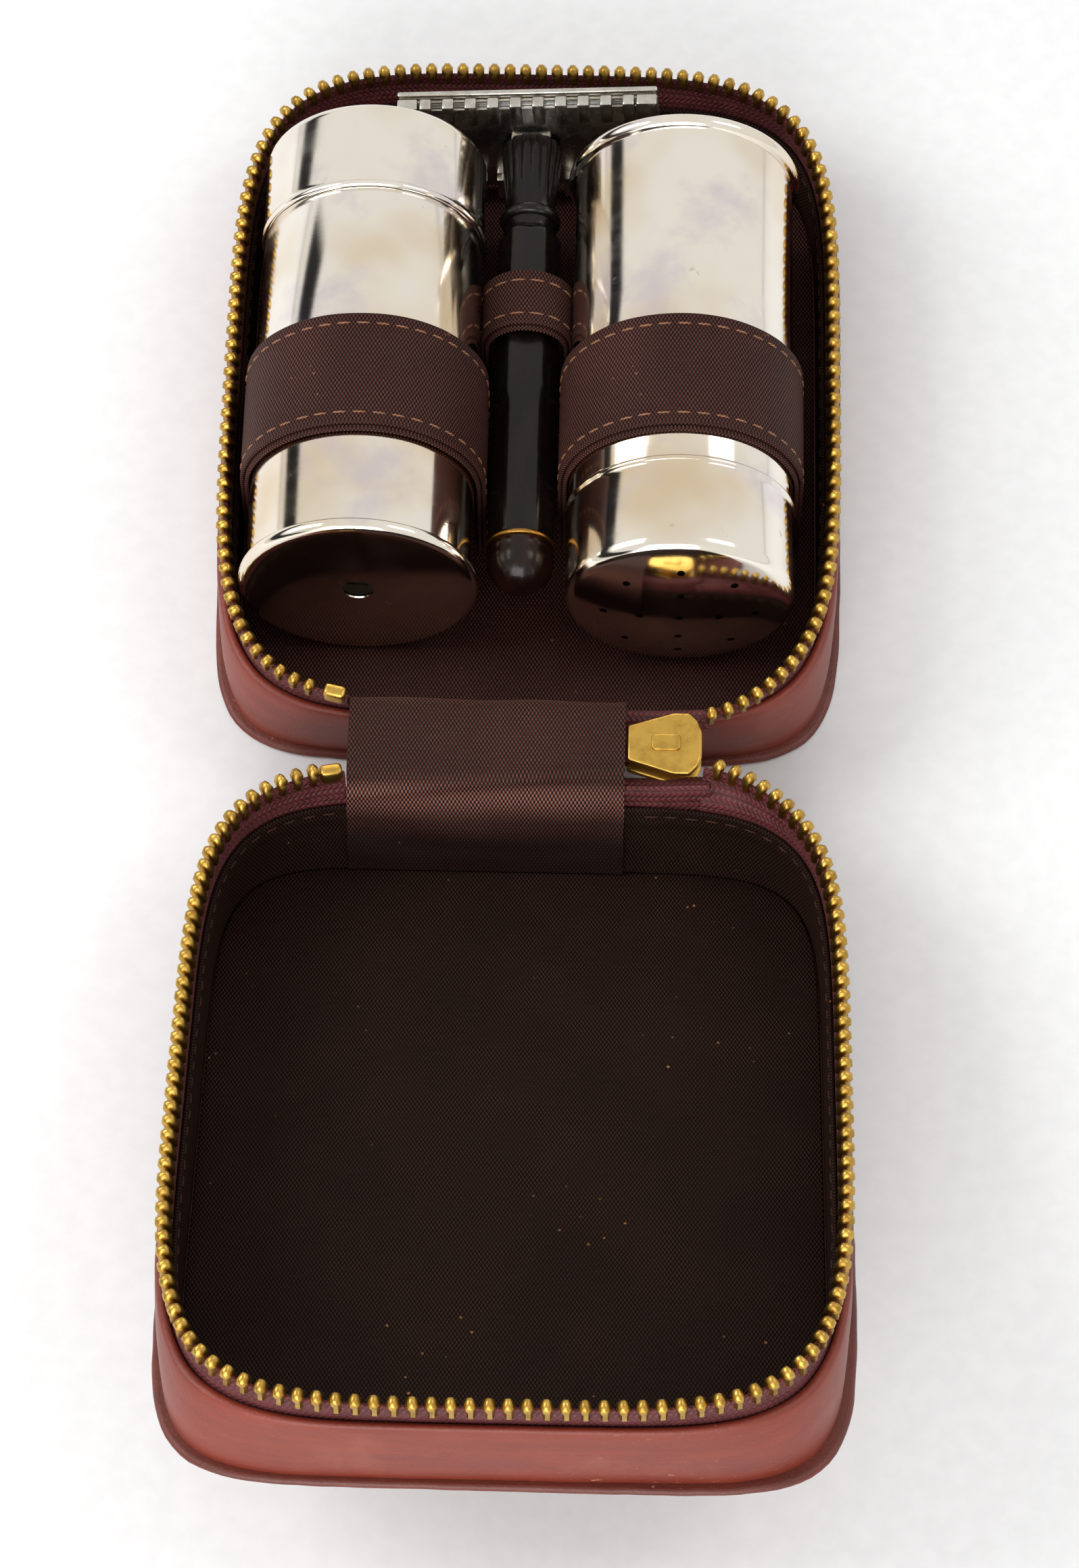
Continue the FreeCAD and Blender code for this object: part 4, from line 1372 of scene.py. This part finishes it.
def tin_body(node, body, closed_y, outward, hole):
    """Drawn tin with a rolled bead at its closed end and a neck; lengths run from the closed end."""
    x, z, radius = tin_axis(node)
    low, high = span(node)
    mouth = high.y - low.y
    seam = mouth - NECK_LENGTH
    inner = radius - TIN_WALL
    neck = radius - NECK_INSET
    bead_end = 2 * BEAD_TUBE
    section = [(hole, TIN_WALL), (hole, 0.16), (hole + 0.16, 0.0)] if hole else [(0.0, 0.0)]
    section += [(inner * 0.5, 0.0), (radius - BEAD_TUBE, 0.0)]
    section += curl(radius - BEAD_OUT, BEAD_TUBE, BEAD_TUBE, 270, 432, 18)
    section += [(radius + 0.02, bead_end + 0.12), (radius, bead_end + 0.4), (radius, seam * 0.5)]
    section += [(radius, seam - 0.2), (radius - 0.12, seam), (neck, seam), (neck, mouth - 0.2)]
    section += [(neck - 0.2, mouth), (neck - TIN_WALL, mouth - 0.1), (neck - TIN_WALL, seam - TIN_WALL)]
    section += [(inner, seam - TIN_WALL - 0.2), (inner, TIN_WALL + 0.3), (inner - 0.3, TIN_WALL)]
    section.append((hole, TIN_WALL))
    section = [(reach, closed_y + outward * y) for reach, y in section]
    piece = turned(node.replace("_body", "_plate"), section, x, z)
    settle(piece, TIN_FINISH, body, [node])


def tin_cap(node, body, tin_node, seam_y, outward, vented):
    """Push-on cap with a rolled lip, a groove behind it and a domed end."""
    x, z, radius = tin_axis(tin_node)
    bore = radius - NECK_INSET + CAP_GAP
    outer = bore + CAP_WALL
    lip_end = SEAM_GAP + 2 * LIP_BEAD
    section = [(bore, SEAM_GAP + 0.1), (bore + 0.1, SEAM_GAP)]
    section += curl(outer - LIP_BEAD / 2, SEAM_GAP + LIP_BEAD, LIP_BEAD, -80, 55, 10)
    section += [(outer - 0.06, lip_end + 0.25), (outer, lip_end + 0.7), (outer, (SEAM_GAP + CAP_LENGTH) / 2)]
    section += dome(outer, CAP_LENGTH, CAP_ROUND, CAP_DOME)
    section += dome(bore, CAP_LENGTH - TIN_WALL, CAP_ROUND - TIN_WALL, CAP_DOME - TIN_WALL)[::-1]
    section.append(section[0])
    section = [(reach, seam_y + outward * y) for reach, y in section]
    piece = turned(node + "_plate", section, x, z)
    if vented:
        pierce(piece, x, z, seam_y + outward * CAP_LENGTH)
    settle(piece, TIN_FINISH, body, [node])


def pierce(piece, x, z, y):
    """Rings of small vents drilled through a cap's end."""
    drills = []
    for reach, count in VENT_RINGS:
        for index in range(count):
            turn = 2 * pi * index / count
            centre = Vector((x - reach * cos(turn), y, z + reach * sin(turn))) * MM
            bpy.ops.object.select_all(action="DESELECT")
            bpy.ops.mesh.primitive_cylinder_add(vertices=VENT_SIDES, radius=VENT * MM, depth=VENT_DRILL * MM,
                                                location=centre, rotation=(pi / 2, 0, 0))
            drills.append(bpy.context.object)
    drill = joined("vent_drill", drills)
    modify(piece, "BOOLEAN", operation="DIFFERENCE", object=drill, solver="EXACT")
    bpy.data.objects.remove(drill)
    soften(piece, 35)


TUFT_COLUMNS = 90
TUFT_ROWS = 24
TUFT_ROOT = 0.68
TUFT_GROWTH = 0.31
TUFT_START = 0.08


def brush_tuft():
    """Hair of the brush: a full tuft in locks, wider towards its rounded end."""
    low, high = span("brush_knot")
    x, z, radius = axis("brush_knot")
    length = high.y - low.y

    def place(i, j):
        share = j / TUFT_ROWS
        lock = 1 - 0.08 * (i % 3 == 0) - 0.04 * unlike(i % TUFT_COLUMNS, 2.0)
        if share < TUFT_START:
            reach = radius * TUFT_ROOT * share / TUFT_START
            y = high.y
        else:
            grow = (share - TUFT_START) / (1 - TUFT_START)
            spread = TUFT_ROOT + TUFT_GROWTH * sin(pi * min(grow * 0.75, 0.5))
            tip = sqrt(max(0.0, 1 - max(0.0, (grow - 0.6) / 0.4) ** 3))
            reach = radius * spread * tip
            y = high.y - length * (1 - (1 - grow) ** 1.15)
        turn = 2 * pi * i / TUFT_COLUMNS
        return x + reach * lock * cos(turn), max(y, low.y), z + reach * lock * sin(turn)

    piece = drape("brush_tuft", TUFT_COLUMNS, TUFT_ROWS, place, angle=30)
    settle(piece, HAIR_FINISH, "right_tin", ["brush_knot"])


GRIP_RADIUS = 5.2
GRIP_SIDES = 6
GRIP_EDGE = 0.7
GRIP_LENGTH = 56.6
NECK_RADIUS = 4.0
HANDLE_NECK = 2.5
RING_RADIUS = 4.9
RING_WIDTH = 2.0
FLARE_RADIUS = 5.0
FLARE_COLUMNS = 144
FLARE_ROWS = 16
FLARE_RIM = 1.4
FLUTES = 16
FLUTE_DEPTH = 0.28
STUD_BORE = 2.05


def razor_handle():
    """Six-sided grip with eased corners, a turned neck and ring, and a fluted flare under the head."""
    low, high = span("razor_handle")
    x, z, _ = axis("razor_handle")
    middle = Vector((x, low.y + GRIP_LENGTH / 2, z)) * MM
    grip = started("grip", bpy.ops.mesh.primitive_cylinder_add, vertices=GRIP_SIDES, radius=GRIP_RADIUS * MM,
                   depth=GRIP_LENGTH * MM, location=middle, rotation=(pi / 2, 0, 0))
    turn_grip(grip, middle)
    rounded(grip, GRIP_EDGE, 4, 30)
    start = low.y + GRIP_LENGTH
    ring_start = start + HANDLE_NECK
    flare_start = ring_start + RING_WIDTH
    section = [(0.0, start - 0.2), (NECK_RADIUS + 0.5, start - 0.2), (NECK_RADIUS, start + 0.7),
               (NECK_RADIUS - 0.15, start + HANDLE_NECK / 2), (NECK_RADIUS, ring_start - 0.1)]
    section += curl(RING_RADIUS - RING_WIDTH / 2, ring_start + RING_WIDTH / 2, RING_WIDTH / 2, -90, 90, 10)
    section += [(NECK_RADIUS, flare_start + 0.1), (NECK_RADIUS - 0.2, flare_start + 0.5)]
    section.append((0.0, flare_start + 0.5))
    neck = turned("handle_neck", section, x, z, 72)

    def place(i, j):
        turn = 2 * pi * i / FLARE_COLUMNS
        if j == FLARE_ROWS:
            radius, y = STUD_BORE, high.y
        elif j == FLARE_ROWS - 1:
            radius, y = FLARE_RADIUS - FLARE_RIM, high.y
        else:
            share = j / (FLARE_ROWS - 2)
            radius = NECK_RADIUS + (FLARE_RADIUS - NECK_RADIUS) * share ** 1.25
            y = flare_start + (high.y - flare_start) * share
            flute = abs(sin(FLUTES * turn / 2)) ** 0.7
            radius -= FLUTE_DEPTH * smooth_share(share * 1.6) * (1 - flute)
            radius -= 0.25 * max(0.0, (share - 0.93) / 0.07) ** 2
        return x + radius * cos(turn), y, z + radius * sin(turn)

    flare = drape("handle_flare", FLARE_COLUMNS, FLARE_ROWS, place, angle=50)
    piece = joined("razor_grip_moulding", [grip, neck, flare])
    settle(piece, GRIP_FINISH, "razor_grip", ["razor_handle"])


def turn_grip(grip, middle):
    """Set the grip's corners level with the solid's, one corner straight out to each side."""
    corner = max(grip.data.vertices, key=lambda vert: vert.co.x).co - middle

    def turn():
        pick_all()
        bpy.ops.transform.rotate(value=pi / GRIP_SIDES, orient_axis="Y", center_override=middle)

    if abs(corner.z) > 0.5 * MM:
        edit(grip, turn)


BAND_EDGE = 0.18
KNOB_STEPS = 12


def handle_end():
    """Thin gilt band and the domed knob behind the grip."""
    low, high = span("handle_band")
    x, z, radius = axis("handle_band")
    band = turned("gilt_band", disc(radius, low.y, high.y, BAND_EDGE), x, z, 72, 50)
    settle(band, GILT_FINISH, "razor_grip", ["handle_band"])
    low, high = span("handle_knob")
    _, _, radius = axis("handle_knob")
    collar = low.y + radius
    section = [(0.0, high.y), (radius - 0.35, high.y), (radius - 0.05, high.y - 0.35)]
    section += [(radius, high.y - 1.2), (radius - 0.12, collar + 0.9), (radius, collar + 0.2)]
    section += curl(0, collar, radius, 0, -90, KNOB_STEPS)[1:]
    knob = turned("domed_knob", section, x, z, 72, 50)
    settle(knob, KNOB_FINISH, "razor_grip", ["handle_knob"])


COMB_LENGTH = 41.5
COMB_HEIGHT = 25.2
COMB_REACH = 0.6
COMB_TEETH = 12
COMB_TOOTH_WIDTH = 1.9
COMB_TOOTH_HEIGHT = 2.6
COMB_END_WIDTH = 3.3
COMB_LEAF = 0.5
COMB_CORE = 3.2
CAP_EDGE_DROP = 0.9
CAP_EDGE_GAP = 0.7
CAP_EDGE_WIDTH = 0.9
CAP_EDGE_DEPTH = 1.6
HEAD_ROLL = 4.0


def comb_plate():
    """Comb of the razor: a leaf on a core, teeth along both edges, and the edges of the cap behind them."""
    x, z, _ = axis("razor_handle")
    front, back = (corner.y for corner in span("razor_comb_plate"))
    first, last = x - COMB_LENGTH / 2, x + COMB_LENGTH / 2
    leaf_half = COMB_HEIGHT / 2 - COMB_TOOTH_HEIGHT
    pieces = [
        block("comb_leaf", (first, back - COMB_LEAF, z - leaf_half), (last, back, z + leaf_half), 0.15, 2),
        block("comb_core", (x - COMB_CORE, front + COMB_REACH, z - COMB_CORE),
              (x + COMB_CORE, back, z + COMB_CORE), 0.3),
    ]
    pitch = (COMB_LENGTH - COMB_TOOTH_WIDTH) / (COMB_TEETH - 1)
    for index in range(COMB_TEETH):
        left = first + index * pitch
        right = left + COMB_TOOTH_WIDTH
        if index == 0:
            right = first + COMB_END_WIDTH
        if index == COMB_TEETH - 1:
            left = last - COMB_END_WIDTH
        for rise in (-1, 1):
            inner, outer = rise * (leaf_half - COMB_TOOTH_HEIGHT), rise * COMB_HEIGHT / 2
            bottom, top = z + min(inner, outer), z + max(inner, outer)
            pieces.append(block("comb_tooth", (left, front, bottom), (right, back, top), 0.32, 2))
    near = back + CAP_EDGE_GAP
    for rise in (-1, 1):
        edge = z + rise * (COMB_HEIGHT / 2 - CAP_EDGE_DROP)
        bottom, top = edge - CAP_EDGE_DEPTH / 2, edge + CAP_EDGE_DEPTH / 2
        pieces.append(block("cap_edge", (first, near, bottom), (last, near + CAP_EDGE_WIDTH, top), 0.3))
    piece = joined("comb_guard", pieces)
    centre = Matrix.Translation(Vector((x, 0, z)) * MM)
    piece.data.transform(centre @ Matrix.Rotation(-radians(HEAD_ROLL), 4, "Y") @ centre.inverted())
    settle(piece, NICKEL_FINISH, "case_base", ["razor_comb_plate"])


# Solids whose shape is right already keep it and get their finish
CARRIED_OVER = {
    "base_floor_board": BOARD_FINISH,
    "lid_floor_board": BOARD_FINISH,
    "shaving_stick": SOAP_FINISH,
    "brush_handle": WOOD_FINISH,
    "razor_blade": STEEL_FINISH,
    "razor_cap": NICKEL_FINISH,
}


def carried_over():
    for node, finish in CARRIED_OVER.items():
        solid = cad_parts[node]
        solid.data.materials.clear()
        solid.data.materials.append(finish)


def case_half(half, side, phase):
    side_wall(half, side)
    bottom_panel(half, side)
    floor_lining(half, side)
    wall_lining(half, side)
    zip_tape(half, side)
    zip_teeth(half, side, phase)
    zip_stop(half, side)
    hinge_strip(half, side)
    tape_end(half, side)


def tools():
    """Tins with their caps, the brush's hair, the razor, and the loops that hold them."""
    left_low, left_high = span("left_tin_body")
    right_low, right_high = span("right_tin_body")
    tin_body("left_tin_body", "left_tin", left_low.y, 1, END_HOLE)
    tin_cap("left_tin_cap", "left_cap", "left_tin_body", left_high.y - NECK_LENGTH, 1, False)
    tin_body("right_tin_body", "right_tin", right_high.y, -1, 0.0)
    tin_cap("right_tin_cap", "right_cap", "right_tin_body", right_low.y + NECK_LENGTH, -1, True)
    brush_tuft()
    razor_handle()
    handle_end()
    comb_plate()
    for side in ("left", "right"):
        x, z, radius = tin_axis(side + "_tin_body")
        tool_loop(side + "_tin_loop", x, z, radius + SOFT_GAP)
    x, z, _ = axis("razor_handle")
    _, _, reach = axis("razor_loop")
    tool_loop("razor_loop", x, z, reach - 2 * LOOP_PLY - LOOP_PLY_GAP - LOOP_GAP)


CAMERA_PLACE = Vector((11.989, -333.881, 638.582))
CAMERA_PITCH = radians(62.1526)
CAMERA_YAW = radians(-1.6024)
CAMERA_ROLL = radians(-0.2792)
CAMERA_FOCUS = 6944.8
PHOTO_HEIGHT = 2320.0
SENSOR = 36.0


def camera():
    """Camera at the photograph's place."""
    level_reach = cos(CAMERA_PITCH)
    forward = Vector((sin(CAMERA_YAW) * level_reach, cos(CAMERA_YAW) * level_reach, -sin(CAMERA_PITCH)))
    flat_right = forward.cross(UP).normalized()
    flat_up = flat_right.cross(forward)
    right = cos(CAMERA_ROLL) * flat_right + sin(CAMERA_ROLL) * flat_up
    up = cos(CAMERA_ROLL) * flat_up - sin(CAMERA_ROLL) * flat_right
    data = bpy.data.cameras.new("photo_camera")
    data.sensor_fit = "AUTO"
    data.sensor_width = SENSOR
    data.lens = CAMERA_FOCUS * SENSOR / PHOTO_HEIGHT
    data.clip_start = 0.05
    data.clip_end = 20.0
    eye = bpy.data.objects.new("photo_camera", data)
    bpy.context.scene.collection.objects.link(eye)
    turn = Matrix((right, up, -forward)).transposed().to_4x4()
    eye.matrix_world = Matrix.Translation(CAMERA_PLACE * MM) @ turn
    bpy.context.scene.camera = eye


# Name, place, aim, size and power of each lamp, in metres and watts
LAMPS = (
    ("soft_left", (-0.85, 0.1, 0.75), (0, 0, 0), 0.6, 5.5),
    ("soft_right", (0.7, 0.1, 0.9), (0, 0.02, 0), 0.45, 1.6),
    ("soft_front", (-0.15, -1.0, 0.45), (0, -0.2, 0), 0.8, 9.0),
)
TABLE_SIZE = 8


def lamp(name, place, aim, size, power):
    data = bpy.data.lights.new(name, "AREA")
    data.shape = "SQUARE"
    data.size = size
    data.energy = power
    light = bpy.data.objects.new(name, data)
    bpy.context.scene.collection.objects.link(light)
    place = Vector(place)
    turn = (Vector(aim) - place).to_track_quat("-Z", "Y").to_matrix().to_4x4()
    light.matrix_world = Matrix.Translation(place) @ turn


def studio():
    """Pale table, soft lamps, and a white room whose one dark gap shows only in polished metal."""
    table = started("pale_table", bpy.ops.mesh.primitive_plane_add, size=TABLE_SIZE)
    material, start = new_finish("pale_table")
    paper = start.place().clouds(300, 4).step(0.3, 0.7).mix((240, 240, 240), (244, 244, 244))
    close_finish(material, {"Base Color": paper, "Roughness": 0.9, "Specular IOR Level": 0.2})
    table.data.materials.append(material)
    for settings in LAMPS:
        lamp(*settings)
    world = bpy.data.worlds.new("studio")
    bpy.context.scene.world = world
    world.use_nodes = True
    world.node_tree.nodes.clear()
    sky = Value(world.node_tree)
    across, _, up = sky.node("TexCoord").axes()
    left = (0 - across).step(0.5, 0.6)
    gap = up.step(0.08, 0.1) * (1 - up.step(0.3, 0.34)) * left
    glossy = sky.node("LightPath", (), (), 3)
    seen = sky.node("LightPath")
    room = glossy.mix((206, 206, 206), gap.mix((240, 238, 234), (34, 34, 36)))
    room = seen.mix(room, (255, 255, 255))
    shine = sky.node("Background", (), {"Color": room, "Strength": 1.0})
    sky.node("OutputWorld", (), {"Surface": shine})
    bpy.context.scene.view_settings.view_transform = "Standard"


case_half("base", 1, BASE_PHASE)
case_half("lid", -1, LID_PHASE)
hinge_pieces()
zip_slider()
zip_pull()
tools()
carried_over()
camera()
studio()

bpy.context.view_layer.update()
